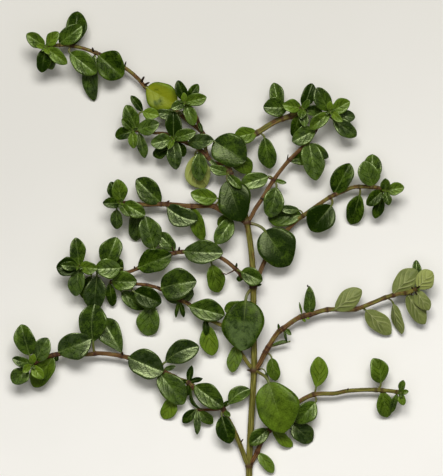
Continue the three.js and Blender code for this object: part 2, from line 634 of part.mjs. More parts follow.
// A stem: a tapering bar of flat-sided rings along its route.
function stemOf(curve, { radius, sides }, rings, clearance = 0) {
  const positions = [];
  const triangles = [];
  for (const { t, swell } of rings) {
    const centre = curve.getPoint(t);
    const along = curve.getTangent(t);
    const across = new THREE.Vector3().crossVectors(UP, along).normalize();
    const above = new THREE.Vector3().crossVectors(along, across);
    const ringRadius = radius * THREE.MathUtils.lerp(1, TIP_SHARE, t) * swell + clearance;
    for (let side = 0; side < sides; side += 1) {
      const angle = ((side + 0.5) / sides) * 2 * Math.PI - Math.PI / 2;
      const corner = centre
        .clone()
        .addScaledVector(across, ringRadius * Math.cos(angle))
        .addScaledVector(above, ringRadius * Math.sin(angle));
      positions.push(...corner);
    }
  }
  const corner = (ring, side) => ring * sides + (side % sides);
  for (let ring = 0; ring + 1 < rings.length; ring += 1) {
    for (let side = 0; side < sides; side += 1) {
      const [a, b] = [corner(ring, side), corner(ring, side + 1)];
      const [c, d] = [corner(ring + 1, side), corner(ring + 1, side + 1)];
      triangles.push(a, b, c, b, d, c);
    }
  }
  const last = rings.length - 1;
  for (let side = 1; side + 1 < sides; side += 1) {
    triangles.push(corner(0, 0), corner(0, side + 1), corner(0, side));
    triangles.push(corner(last, 0), corner(last, side), corner(last, side + 1));
  }
  return solid(positions, triangles);
}

// Half the width of a blade at a share of its length, from its foot to its tip.
function halfWidthAt(share, width) {
  const outline = Math.sin(Math.PI * share ** BLADE_BELLY) ** BLADE_ROUNDNESS;
  return (width / 2) * outline;
}

// The stations of a blade's outline: more of them on a longer blade.
function stationsOf(length) {
  if (length >= LARGE_BLADE) return LARGE_STATIONS;
  return length < SMALL_BLADE ? SMALL_STATIONS : MIDDLE_STATIONS;
}

// The directions across and above a rib of a sheet that runs along a direction.
function frameAlong(direction, roll = 0) {
  const across = new THREE.Vector3().crossVectors(UP, direction).normalize();
  across.applyAxisAngle(direction.clone().normalize(), THREE.MathUtils.degToRad(roll));
  return { across, above: new THREE.Vector3().crossVectors(direction, across).normalize() };
}

// The ribs of a leaf: the root in the stem, the foot of the blade, the stations along it and the
// tip, each with its place, frame and half width. The blade is folded at its stations only.
function ribsOf(item, root) {
  const foot = new THREE.Vector3(...item.foot);
  const tip = new THREE.Vector3(...item.tip);
  const axis = tip.clone().sub(foot);
  const length = axis.length();
  const frame = frameAlong(axis, item.roll);
  const rise = Math.tan(THREE.MathUtils.degToRad(item.fold ?? BLADE_FOLD));
  const bow = (item.arch ?? BLADE_ARCH) * length;
  const blade = stationsOf(length).map((share) => {
    const place = foot.clone().addScaledVector(axis, share);
    place.addScaledVector(frame.above, bow * 4 * share * (1 - share));
    return { place, ...frame, half: halfWidthAt(share, item.width), rise };
  });
  const flat = { half: PETIOLE_WIDTH / 2, rise: 0 };
  const petiole = foot.clone().sub(root);
  const ribs = [];
  if (petiole.length() > SESSILE_REACH) {
    const bend = petiole.clone().normalize().add(axis.clone().normalize());
    ribs.push({ place: root, ...frameAlong(petiole), ...flat });
    ribs.push({ place: foot, ...frameAlong(bend), ...flat });
  } else {
    ribs.push({ place: root, ...frameAlong(blade[0].place.clone().sub(root)), ...flat });
  }
  return [...ribs, ...blade, { place: tip, ...frame, half: TIP_WIDTH / 2, rise: 0 }];
}

// The triangles between two rows of corners, each row from left to right. A folded rib has a
// corner at its fold and a flat one has none.
function stripOf(near, far) {
  if (near.length < far.length) {
    return [
      [near[0], near[1], far[1]],
      [near[0], far[1], far[0]],
      [near[1], far[2], far[1]],
    ];
  }
  if (near.length > far.length) {
    return [
      [near[0], near[1], far[0]],
      [near[1], far[1], far[0]],
      [near[1], near[2], far[1]],
    ];
  }
  return near.slice(1).flatMap((corner, i) => [
    [near[i], corner, far[i + 1]],
    [near[i], far[i + 1], far[i]],
  ]);
}

// A run of ribs as a thin folded sheet, closed all round. Both faces share one triangulation.
function sheetOf(ribs, thickness) {
  const positions = [];
  const rows = ribs.map(({ place, across, above, half, rise }) =>
    [1, -1].map((face) =>
      (rise ? [1, 0, -1] : [1, -1]).map((side) => {
        const point = place
          .clone()
          .addScaledVector(across, side * half)
          .addScaledVector(above, Math.abs(side) * half * rise + (face * thickness) / 2);
        positions.push(...point);
        return positions.length / 3 - 1;
      }),
    ),
  );
  const triangles = [];
  const quad = (a, b, c, d) => triangles.push(a, b, c, a, c, d);
  for (let i = 0; i + 1 < rows.length; i += 1) {
    const [[nearTop, nearUnder], [farTop, farUnder]] = [rows[i], rows[i + 1]];
    stripOf(nearTop, farTop).forEach(([a, b, c]) => triangles.push(a, b, c));
    stripOf(nearUnder, farUnder).forEach(([a, b, c]) => triangles.push(a, c, b));
    quad(nearTop[0], farTop[0], farUnder[0], nearUnder[0]);
    quad(nearTop.at(-1), nearUnder.at(-1), farUnder.at(-1), farTop.at(-1));
  }
  const [[rootTop, rootUnder], [tipTop, tipUnder]] = [rows[0], rows.at(-1)];
  quad(rootTop[0], rootUnder[0], rootUnder[1], rootTop[1]);
  quad(tipTop[0], tipTop[1], tipUnder[1], tipUnder[0]);
  return solid(positions, triangles);
}

// One leaf with its petiole, its root on the stem's axis.
function leafSolid(item, root) {
  return sheetOf(ribsOf(item, root), BLADE_THICKNESS);
}

// A shoot's axis: its smooth line, the rings of its stem and the root of each of its leaves.
function axisOf(item) {
  const curve = routeOf(item);
  const springs = item.leaves.map((blade) => springOf(blade, curve));
  const rings = ringsOf(curve, springs);
  return { curve, rings, roots: springs.map((t) => axisPointAt(curve, rings, t)) };
}

// The room that a shoot leaves around the stem and petioles that it springs from.
function clearanceAround(parent) {
  const { curve, rings, roots } = axisOf(parent);
  let room = stemOf(curve, parent, rings, JOINT_GAP);
  parent.leaves.forEach((item, i) => {
    const petiole = ribsOf(item, roots[i]).slice(0, 2);
    const widened = petiole.map((rib) => ({ ...rib, half: rib.half + JOINT_GAP, rise: 0 }));
    room = room.add(sheetOf(widened, BLADE_THICKNESS + 2 * JOINT_GAP));
  });
  return room;
}

// One leafy shoot: its stem and leaves joined, cut clear of what it springs from.
function shootSolid(item) {
  const { curve, rings, roots } = axisOf(item);
  let body = stemOf(curve, item, rings);
  item.leaves.forEach((blade, i) => {
    body = body.add(leafSolid(blade, roots[i]));
  });
  const parent = shoots.find(({ name }) => name === item.springsFrom);
  return parent ? body.subtract(clearanceAround(parent)) : body;
}

const sprig = new THREE.Group();
for (const item of shoots) {
  const material = new THREE.MeshStandardMaterial({
    color: item.colour,
    roughness: LEAF_ROUGHNESS,
    metalness: 0,
  });
  const mesh = new THREE.Mesh(geometryOf(shootSolid(item)), material);
  mesh.name = item.name;
  sprig.add(mesh);
}

export default sprig;
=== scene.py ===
"""A cut sprig of broad-leaved thyme that lies on a pale table, seen from straight above.

Each leafy shoot is two pieces, its stem and its leaves, which stand for the shoot's plain solid.
Sizes are in millimetres until a mesh is made, and meshes are in metres. The frame is the part's
own: the table is at z = 0, and +Y runs from the cut end of the main stem to the growing tips.
"""

import logging
import math
from collections.abc import Sequence
from dataclasses import dataclass
from enum import Enum

import bpy
import numpy as np
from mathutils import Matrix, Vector

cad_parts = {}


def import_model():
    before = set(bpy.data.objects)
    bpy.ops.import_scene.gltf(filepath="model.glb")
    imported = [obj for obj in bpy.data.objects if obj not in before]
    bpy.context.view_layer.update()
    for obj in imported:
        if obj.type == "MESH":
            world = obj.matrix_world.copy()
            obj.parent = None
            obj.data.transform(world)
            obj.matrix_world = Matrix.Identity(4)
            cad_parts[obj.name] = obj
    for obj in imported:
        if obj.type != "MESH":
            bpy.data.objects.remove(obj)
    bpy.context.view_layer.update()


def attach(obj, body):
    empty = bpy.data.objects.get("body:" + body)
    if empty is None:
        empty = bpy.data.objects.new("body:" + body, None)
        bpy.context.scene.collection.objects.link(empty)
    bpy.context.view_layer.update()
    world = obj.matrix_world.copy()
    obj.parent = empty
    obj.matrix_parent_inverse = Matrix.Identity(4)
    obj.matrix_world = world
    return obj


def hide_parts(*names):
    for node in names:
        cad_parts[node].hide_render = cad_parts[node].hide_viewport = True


LOG = logging.getLogger("thyme_sprig")

Place = tuple[float, float, float]
Colour = tuple[float, float, float, float]
Ramp = tuple[float, float]
Socket = bpy.types.NodeSocket

MM = 0.001
UP = np.array((0.0, 0.0, 1.0))
BODY = "root"
SEED = 20
NOISE_MIDDLE = 0.5

# Stems.
MAIN_STEM_RADIUS = 0.88
MAIN_STEM_SIDES = 6
SHOOT_RADIUS = 0.46
TWIG_RADIUS = 0.4
LEVEL_AXIS = MAIN_STEM_RADIUS * math.cos(math.pi / MAIN_STEM_SIDES)

# Blades. A fold is the slope of each half in degrees. Below zero the halves hang down.
BLADE_FOLD = 20.0
FOLDED_FLAT = 9.0
TURNED_FOLD = -14.0
BLADE_ARCH = 0.05
BLADE_THICKNESS = 0.3
TOUCHING = 0.33
TABLE_GAP = 0.02

# The side veins of a blade, which its relief and its finish share.
VEIN_SLANT = 0.5
VEIN_CURVE = 1.15


def srgb(red: int, green: int, blue: int) -> Colour:
    """Turns a colour on the usual 0 to 255 scale into the linear one that shaders take.

    Args:
        red: Red, 0 to 255.
        green: Green, 0 to 255.
        blue: Blue, 0 to 255.

    Returns:
        The linear colour with full alpha.
    """

    def linear(value: int) -> float:
        """One channel, from the display scale to the linear one."""
        share = value / 255
        return share / 12.92 if share <= 0.04045 else ((share + 0.055) / 1.055) ** 2.4

    return (linear(red), linear(green), linear(blue), 1.0)


def unit(vector: np.ndarray) -> np.ndarray:
    """The vector at length one."""
    return vector / np.linalg.norm(vector)


def arch(share: np.ndarray) -> np.ndarray:
    """A curve that is 0 at both ends and 1 in the middle."""
    return 4 * share * (1 - share)


def bell(gap: np.ndarray, reach: float) -> np.ndarray:
    """A bump that is 1 at gap 0 and fades over the reach."""
    return np.exp(-((gap / reach) ** 2))


def round_turns(sides: int) -> np.ndarray:
    """The angle of each side of a tube."""
    return np.arange(sides) / sides * math.tau


class Graph:
    """The node graph of one material, with short calls for the nodes that the finishes share."""

    def __init__(self, name: str) -> None:
        """Starts a material with its shader.

        Args:
            name: The material's name.
        """
        self.material = bpy.data.materials.new(name)
        self.material.use_nodes = True
        self.tree = self.material.node_tree
        self.shader = self.tree.nodes["Principled BSDF"]

    def node(self, kind: str, **settings: object) -> bpy.types.Node:
        """Adds a node.

        Args:
            kind: The node's type.
            settings: Its settings by name.

        Returns:
            The node.
        """
        node = self.tree.nodes.new(kind)
        for name, value in settings.items():
            setattr(node, name, value)
        return node

    def feed(self, socket: Socket, value: Socket | float | Colour) -> None:
        """Links a socket to another, or sets it.

        Args:
            socket: The input.
            value: An output socket, a number or a colour.
        """
        if isinstance(value, bpy.types.NodeSocket):
            self.tree.links.new(value, socket)
        else:
            socket.default_value = value

    def dress(self, values: dict[str, Socket | float | Colour]) -> None:
        """Feeds the shader's inputs by their names."""
        for name, value in values.items():
            self.feed(self.shader.inputs[name], value)

    def split(self, vector: Socket) -> tuple[Socket, Socket, Socket]:
        """The three numbers of a vector."""
        node = self.node("ShaderNodeSeparateXYZ")
        self.feed(node.inputs[0], vector)
        return node.outputs[0], node.outputs[1], node.outputs[2]

    def mark(self, name: str) -> Socket:
        """A mark of the mesh, by its name."""
        return self.node("ShaderNodeAttribute", attribute_name=name).outputs["Vector"]

    def place(self) -> Socket:
        """The place in the sprig's own frame, in metres."""
        return self.node("ShaderNodeTexCoord").outputs["Object"]

    def math(self, operation: str, *values: Socket | float) -> Socket:
        """One step of arithmetic.

        Args:
            operation: The operation's name.
            values: Its one, two or three numbers.

        Returns:
            The result.
        """
        node = self.node("ShaderNodeMath", operation=operation)
        for socket, value in zip(node.inputs, values):
            self.feed(socket, value)
        return node.outputs[0]

    def times(self, product: Socket, *factors: Socket | float) -> Socket:
        """A product.

        Args:
            product: Its first factor.
            factors: The others.

        Returns:
            The result.
        """
        for factor in factors:
            product = self.math("MULTIPLY", product, factor)
        return product

    def swing(self, value: Socket, middle: float, depth: float) -> Socket:
        """How far a value is from its middle, times a depth."""
        return self.times(self.math("SUBTRACT", value, middle), depth)

    def ramp(self, value: Socket, ends: Ramp) -> Socket:
        """A smooth change from 0 to 1.

        Args:
            value: What is measured.
            ends: Where the share is 0 and where it is 1. Either may be the lower one.

        Returns:
            The share.
        """
        node = self.node("ShaderNodeMapRange", interpolation_type="SMOOTHSTEP")
        for socket, item in zip(node.inputs, (value, *ends)):
            self.feed(socket, item)
        return node.outputs[0]

    def mix(self, share: Socket | float, first: Socket | Colour, second: Socket | Colour) -> Socket:
        """A mix of two colours.

        Args:
            share: How much of the second.
            first: The colour at share 0.
            second: The colour at share 1.

        Returns:
            The mixed colour.
        """
        # This node has three pairs of inputs with the same names. The colours are 6 and 7.
        node = self.node("ShaderNodeMix", data_type="RGBA", clamp_factor=True)
        self.feed(node.inputs[0], share)
        self.feed(node.inputs[6], first)
        self.feed(node.inputs[7], second)
        return node.outputs[2]

    def noise(self, scale: float, detail: float = 3.0, vector: Socket | None = None) -> Socket:
        """Soft cloudy noise, by default in the sprig's own frame.

        Args:
            scale: Clouds to a metre, or to a unit of the vector.
            detail: How many finer layers it has.
            vector: The coordinates, where they aren't the sprig's own.

        Returns:
            The noise, about 0 to 1.
        """
        node = self.node("ShaderNodeTexNoise")
        node.inputs["Scale"].default_value = scale
        node.inputs["Detail"].default_value = detail
        self.feed(node.inputs["Vector"], self.place() if vector is None else vector)
        return node.outputs[0]

    def bump(self, height: Socket, depth: float) -> None:
        """Gives the shader a relief.

        Args:
            height: The relief, 0 to 1.
            depth: Its depth in millimetres.
        """
        node = self.node("ShaderNodeBump")
        node.inputs["Distance"].default_value = depth * MM
        self.feed(node.inputs["Height"], height)
        self.dress({"Normal": node.outputs[0]})


class BladeGraph(Graph):
    """The node graph of a leaf's finish, with what it reads at each place of the leaf."""

    CLOUD_SCALE = 420.0
    FLECK_SCALE = 3000.0
    FLECK_LAYERS = 2.0

    def __init__(self, name: str) -> None:
        """Starts the material and reads the leaf's marks.

        Args:
            name: The material's name.
        """
        super().__init__(name)
        self.along, side, self.half = self.split(self.mark("blade_place"))
        self.across = self.math("ABSOLUTE", side)
        self.bright, self.bloomed, self.yellowed = self.split(self.mark("blade_tone"))
        self.pressed, self.glossy, _ = self.split(self.mark("blade_wear"))
        self.cloud = self.noise(self.CLOUD_SCALE)
        self.fleck = self.noise(self.FLECK_SCALE, self.FLECK_LAYERS)


@dataclass(frozen=True)
class BladeFinish:
    """The finish of one face of the leaves."""

    name: str
    deep: Colour
    fresh: Colour
    bloom: Colour
    yellow: Colour
    midrib: Colour
    # Drawn along the side veins: the pale veins' own colour on the underside, painted shade in the sunken
    # grooves on the upper face.
    vein: Colour
    rim: Colour
    vein_width: float
    vein_share: float
    midrib_share: float
    roughness: float
    gloss: float
    sheen: Colour
    relief: float
    vein_relief: float

    # The side veins: half the gap between two, where on the midrib the first and the last
    # begin, how they end towards the rim, and how they show in yellow and in the gloss.
    HALF_PERIOD = 0.5
    FIRST_VEINS = (0.0, 0.08)
    LAST_VEINS = (0.75, 0.5)
    VEIN_END = (0.95, 0.45)
    VEIN_IN_YELLOW = (1.0, 0.2)
    VEIN_DULLNESS = 0.75

    # The midrib, by the distance from its middle in millimetres and by the place along it.
    MIDRIB_EDGE = (0.15, 0.04)
    MIDRIB_FADE = (0.9, 0.1)

    # The uneven green and the grey dust on it.
    FLECK_SHARE = 0.7
    MOTTLE_MIDDLE = 0.85
    MOTTLE_DEPTH = 1.4
    DUST_SCALE = 900.0
    DUST_EDGE = (0.3, 0.7)

    # The pale patch of a pressed blade, the yellow one of a faded blade, and the rim.
    PRESSED_ALONG = (0.34, 0.5)
    PRESSED_ACROSS = (0.95, 0.5)
    PRESSED_CLOUD = (0.3, 0.62)
    YELLOW_ACROSS = (1.3, 0.3)
    YELLOW_CLOUD = (0.25, 0.5)
    RIM_EDGE = (0.9, 0.99)
    RIM_SHARE = 0.55

    # How far the flecks change the roughness and the relief.
    GRAIN = 0.22
    FLECK_RELIEF = 0.5

    def side_veins(self, graph: BladeGraph) -> Socket:
        """The curved side veins, which run from the midrib towards the tip.

        Args:
            graph: The material's graph.

        Returns:
            A share that is 1 on a vein.
        """
        count, shift, strength = graph.split(graph.mark("blade_veins"))
        bend = graph.times(graph.math("POWER", graph.across, VEIN_CURVE), VEIN_SLANT)
        start = graph.math("SUBTRACT", graph.along, bend)
        wave = graph.math("MULTIPLY_ADD", start, count, shift)
        wave = graph.math("PINGPONG", wave, self.HALF_PERIOD)
        line = graph.ramp(wave, (self.vein_width, 0.0))
        inside = graph.ramp(start, self.FIRST_VEINS)
        inside = graph.times(inside, graph.ramp(start, self.LAST_VEINS))
        return graph.times(line, strength, inside, graph.ramp(graph.across, self.VEIN_END))

    def middle_vein(self, graph: BladeGraph) -> Socket:
        """The midrib, which fades towards the tip, as a share that is 1 on it."""
        near = graph.ramp(graph.times(graph.across, graph.half), self.MIDRIB_EDGE)
        return graph.times(near, graph.ramp(graph.along, self.MIDRIB_FADE))

    def green(self, graph: BladeGraph) -> Socket:
        """The blade's uneven green under its grey bloom.

        Args:
            graph: The material's graph.

        Returns:
            The colour.
        """
        mottle = graph.math("MULTIPLY_ADD", graph.fleck, self.FLECK_SHARE, graph.cloud)
        uneven = graph.swing(mottle, self.MOTTLE_MIDDLE, self.MOTTLE_DEPTH)
        colour = graph.mix(graph.math("ADD", graph.bright, uneven), self.deep, self.fresh)
        dust = graph.ramp(graph.noise(self.DUST_SCALE), self.DUST_EDGE)
        return graph.mix(graph.times(graph.bloomed, dust), colour, self.bloom)

    def worn(self, graph: BladeGraph, colour: Socket) -> Socket:
        """Lays the pale patch of a pressed blade and the yellow of a faded one over the green.

        Args:
            graph: The material's graph.
            colour: The colour so far.

        Returns:
            The colour with the patches.
        """
        patch = graph.times(graph.ramp(graph.along, self.PRESSED_ALONG), graph.pressed)
        patch = graph.times(patch, graph.ramp(graph.across, self.PRESSED_ACROSS))
        patch = graph.times(patch, graph.ramp(graph.cloud, self.PRESSED_CLOUD))
        colour = graph.mix(patch, colour, self.bloom)
        faded = graph.times(graph.yellowed, graph.ramp(graph.across, self.YELLOW_ACROSS))
        faded = graph.times(faded, graph.ramp(graph.cloud, self.YELLOW_CLOUD))
        return graph.mix(faded, colour, self.yellow)

    def lined(self, graph: BladeGraph, colour: Socket, veins: Socket, midrib: Socket) -> Socket:
        """Draws the veins, the midrib and the rim over the blade's colour; on the upper face the veins
        are painted shade in their grooves.

        Args:
            graph: The material's graph.
            colour: The colour so far.
            veins: The side veins.
            midrib: The midrib.

        Returns:
            The colour with the lines.
        """
        faint = graph.ramp(graph.yellowed, self.VEIN_IN_YELLOW)
        # On the upper face the dark vein colour is painted shade in the sunken vein grooves.
        colour = graph.mix(graph.times(veins, self.vein_share, faint), colour, self.vein)
        colour = graph.mix(graph.times(midrib, self.midrib_share), colour, self.midrib)
        rim = graph.times(graph.ramp(graph.across, self.RIM_EDGE), self.RIM_SHARE)
        return graph.mix(rim, colour, self.rim)

    def build(self) -> bpy.types.Material:
        """Makes the material.

        Returns:
            The material.
        """
        graph = BladeGraph(self.name)
        veins = self.side_veins(graph)
        midrib = self.middle_vein(graph)
        colour = self.worn(graph, self.green(graph))
        grain = graph.swing(graph.fleck, NOISE_MIDDLE, self.GRAIN)
        dull = graph.math("MULTIPLY_ADD", veins, -self.VEIN_DULLNESS, 1.0)
        graph.dress(
            {
                "Base Color": self.lined(graph, colour, veins, midrib),
                "Roughness": graph.math("ADD", grain, self.roughness),
                "Specular IOR Level": graph.times(graph.glossy, self.gloss, dull),
                "Specular Tint": self.sheen,
            }
        )
        raised = graph.times(graph.math("MAXIMUM", veins, midrib), self.vein_relief)
        graph.bump(graph.math("MULTIPLY_ADD", graph.fleck, self.FLECK_RELIEF, raised), self.relief)
        return graph.material


@dataclass(frozen=True)
class PetioleFinish:
    """The finish of leaf stalks and of the blades' thin edges."""

    name: str
    stalk: Colour
    blade: Colour
    shade: Colour
    faded: Colour
    roughness: float

    BLADE_RAMP = (-1.1, 0.5)
    CLOUD_SCALE = 1400.0
    CLOUD_SHARE = 0.35
    FADED_SHARE = 0.3
    RELIEF = 0.04

    def build(self) -> bpy.types.Material:
        """Makes the material, which turns from stalk to blade colour along the leaf.

        Returns:
            The material.
        """
        graph = Graph(self.name)
        along, _, _ = graph.split(graph.mark("blade_place"))
        _, _, yellow = graph.split(graph.mark("blade_tone"))
        colour = graph.mix(graph.ramp(along, self.BLADE_RAMP), self.stalk, self.blade)
        cloud = graph.noise(self.CLOUD_SCALE)
        colour = graph.mix(graph.times(cloud, self.CLOUD_SHARE), colour, self.shade)
        colour = graph.mix(graph.times(yellow, self.FADED_SHARE), colour, self.faded)
        graph.dress({"Base Color": colour, "Roughness": self.roughness})
        graph.bump(cloud, self.RELIEF)
        return graph.material


@dataclass(frozen=True)
class StemFinish:
    """The finish of the stems: streaked green and brown bark, dark joints and painted shade on the
    flanks.
    """

    name: str
    olive: Colour
    olive_pale: Colour
    brown: Colour
    brown_pale: Colour
    red: Colour
    # The dark joints' colour, which the painted shade on the stems' flanks also takes.
    joint: Colour
    scar: Colour
    dry: Colour
    roughness: float
    gloss: float

    # Noise along the grain, in clouds to a unit of it, and in the sprig's frame, to a metre.
    STREAK_SCALE = 3.2
    STREAK_LAYERS = 3.0
    FINE_SCALE = 9.0
    FINE_LAYERS = 2.0
    BLOTCH_SCALE = 700.0

    PALE_OLIVE = (0.35, 0.7)
    PALE_BROWN = (0.4, 0.72)
    RED_SHARE = 0.5
    BLOTCH_DEPTH = 1.1
    BROWN_EDGE = (0.3, 0.7)
    # Painted shade: the flanks and underside of each stem are darkened towards the joint colour.
    FLANK_SHADE_EDGE = (0.9, 0.15)
    FLANK_SHADE_SHARE = 0.6
    JOINT_SHARE = 0.95
    GRAIN = 0.2
    RELIEF = 0.09

    def bark(self, graph: Graph, streak: Socket, share: Socket, red: Socket) -> Socket:
        """The streaked bark.

        Args:
            graph: The material's graph.
            streak: The noise along the bark.
            share: The share of brown.
            red: The brown's redness.

        Returns:
            The colour.
        """
        olive = graph.mix(graph.ramp(streak, self.PALE_OLIVE), self.olive, self.olive_pale)
        brown = graph.mix(graph.ramp(streak, self.PALE_BROWN), self.brown, self.brown_pale)
        brown = graph.mix(graph.times(red, self.RED_SHARE), brown, self.red)
        uneven = graph.swing(graph.noise(self.BLOTCH_SCALE), NOISE_MIDDLE, self.BLOTCH_DEPTH)
        share = graph.ramp(graph.math("ADD", share, uneven), self.BROWN_EDGE)
        return graph.mix(share, olive, brown)

    def build(self) -> bpy.types.Material:
        """Makes the material.

        Returns:
            The material.
        """
        graph = Graph(self.name)
        joint, scar, facing = graph.split(graph.mark("stem_place"))
        share, red, dry = graph.split(graph.mark("stem_tone"))
        grain = graph.mark("stem_grain")
        streak = graph.noise(self.STREAK_SCALE, self.STREAK_LAYERS, grain)
        fine = graph.noise(self.FINE_SCALE, self.FINE_LAYERS, grain)
        # Painted shade on the stem's flanks and underside, mixed in with the dark joints.
        flank_shade = graph.times(graph.ramp(facing, self.FLANK_SHADE_EDGE), self.FLANK_SHADE_SHARE)
        dark = graph.math("MAXIMUM", flank_shade, graph.times(joint, self.JOINT_SHARE))
        colour = graph.mix(dark, self.bark(graph, streak, share, red), self.joint)
        colour = graph.mix(scar, colour, self.scar)
        graph.dress(
            {
                "Base Color": graph.mix(dry, colour, self.dry),
                "Roughness": graph.math("MULTIPLY_ADD", fine, self.GRAIN, self.roughness),
                "Specular IOR Level": self.gloss,
            }
        )
        graph.bump(graph.math("ADD", streak, fine), self.RELIEF)
        return graph.material


@dataclass(frozen=True)
class TableFinish:
    """The finish of the table: pale warm board, with painted light that makes it a little lighter in
    front and on the right.
    """

    name: str
    back: Colour
    front: Colour
    cloud: Colour
    roughness: float
    gloss: float

    # Painted light: the colour turns from back to front along a slope that also rises to the right.
    RIGHTWARD = -0.35
    FRONT_LIGHT_RAMP = (75 * MM, -70 * MM)
    CLOUD_SCALE = 60.0
    CLOUD_LAYERS = 2.0
    CLOUD_SHARE = 0.1

    def build(self) -> bpy.types.Material:
        """Makes the material.

        Returns:
            The material.
        """
        graph = Graph(self.name)
        x, y, _ = graph.split(graph.place())
        slope = graph.math("MULTIPLY_ADD", x, self.RIGHTWARD, y)
        colour = graph.mix(graph.ramp(slope, self.FRONT_LIGHT_RAMP), self.back, self.front)
        cloud = graph.times(graph.noise(self.CLOUD_SCALE, self.CLOUD_LAYERS), self.CLOUD_SHARE)
        colour = graph.mix(cloud, colour, self.cloud)
        values = {"Roughness": self.roughness, "Specular IOR Level": self.gloss}
        graph.dress({"Base Color": colour, **values})
        return graph.material


class Tone(Enum):
    """A leaf's brightness, grey bloom, yellow, pressed pale patch and sheen, 0 to 1."""

    DARK = (0.03, 0.0, 0.0, 0.0, 0.35)
    DUSKY = (0.1, 0.25, 0.0, 0.0, 1.0)
    PLAIN = (0.27, 0.05, 0.0, 0.0, 0.75)
    FRESH = (0.54, 0.05, 0.06, 0.0, 0.55)
    GREY = (0.32, 0.25, 0.0, 0.0, 1.0)
    PALE = (0.9, 0.4, 0.1, 0.0, 0.9)
    LIME = (0.95, 0.1, 0.15, 0.0, 0.5)
    YELLOW = (0.42, 0.0, 0.8, 0.0, 0.15)
    PRESSED = (0.18, 0.0, 0.0, 0.5, 0.15)
    DEEP = (0.12, 0.05, 0.0, 0.0, 0.4)
    BLOTCHED = (0.43, 0.0, 0.08, 0.0, 0.2)
    # Pale, and brightened further as painted light where the leaf lies in the shade of another.
    WAN = (0.95, 0.3, 0.4, 0.0, 0.3)


class Bark(Enum):
    """The bark of a stem: the share of brown at its foot and at its tip, and its redness."""

    OLIVE = (0.15, 0.5, 0.0)
    MIXED = (0.75, 0.4, 0.1)
    BROWN = (0.8, 0.65, 0.05)
    RED = (0.9, 0.7, 0.7)
    GREEN_TIP = (0.95, 0.0, 0.3)
    GREEN_FOOT = (0.3, 0.85, 0.1)


@dataclass(frozen=True)
class Leaf:
    """One leaf: the foot of its blade, its tip, its full width, its tone and how it is turned.

    The root is where its stalk leaves the stem, in plan, if that isn't nearest to the foot. Fold
    and roll are in degrees, belly is where along the blade it is widest, and bend is how far its
    middle is bowed aside, as a share of its length. A turned leaf shows its underside.
    """

    foot: Place
    tip: Place
    width: float
    tone: Tone = Tone.PLAIN
    root: tuple[float, float] | None = None
    fold: float = BLADE_FOLD
    roll: float = 0.0
    belly: float = 0.5
    bend: float = 0.0
    turned: bool = False


class Route:
    """The smooth line of a stem through its measured points."""

    SPAN_SAMPLES = 40

    def __init__(self, points: Sequence[Place]) -> None:
        """Samples the line.

        Args:
            points: The points, from the foot to the growing tip.
        """
        given = np.array(points, dtype=float)
        ends = (2 * given[0] - given[1], 2 * given[-1] - given[-2])
        knots = np.vstack((ends[0], given, ends[1]))
        spans = [self.span(knots[i : i + 4]) for i in range(len(given) - 1)]
        self.places = np.vstack((*spans, given[-1:]))
        steps = np.linalg.norm(np.diff(self.places, axis=0), axis=1)
        self.arcs = np.concatenate(((0.0,), np.cumsum(steps)))

    def span(self, knots: np.ndarray) -> np.ndarray:
        """One stretch of the line, by the centripetal rule.

        Args:
            knots: The two ends of the stretch, with the point before and the one after.

        Returns:
            Its samples, without the last.
        """
        gaps = np.sqrt(np.linalg.norm(np.diff(knots, axis=0), axis=1))
        slopes = np.diff(knots, axis=0) / gaps[:, None]
        chords = [(knots[i + 2] - knots[i]) / (gaps[i] + gaps[i + 1]) for i in (0, 1)]
        leave = (slopes[0] - chords[0] + slopes[1]) * gaps[1]
        arrive = (slopes[1] - chords[1] + slopes[2]) * gaps[1]
        t = np.linspace(0, 1, self.SPAN_SAMPLES, endpoint=False)[:, None]
        start = (2 * t**3 - 3 * t**2 + 1) * knots[1] + (t**3 - 2 * t**2 + t) * leave
        return start + (3 * t**2 - 2 * t**3) * knots[2] + (t**3 - t**2) * arrive

    @property
    def length(self) -> float:
        """The length of the line."""
        return float(self.arcs[-1])

    def at(self, arcs: np.ndarray) -> np.ndarray:
        """The places at the given lengths along the line."""
        return np.stack([np.interp(arcs, self.arcs, self.places[:, i]) for i in range(3)], axis=-1)

    def arc_at_height(self, height: float) -> float:
        """The length along the line up to a place, by the place's y."""
        return float(self.arcs[int(np.argmin(np.abs(self.places[:, 1] - height)))])

    def arc_of(self, leaf: Leaf) -> float:
        """Where along the line a leaf springs.

        Args:
            leaf: The leaf.

        Returns:
            The length along the line of the place nearest to its root in plan, or to its foot.
        """
        if leaf.root is None:
            gaps = np.linalg.norm(self.places - np.array(leaf.foot), axis=1)
        else:
            gaps = np.linalg.norm(self.places[:, :2] - np.array(leaf.root), axis=1)
        return float(self.arcs[int(np.argmin(gaps))])


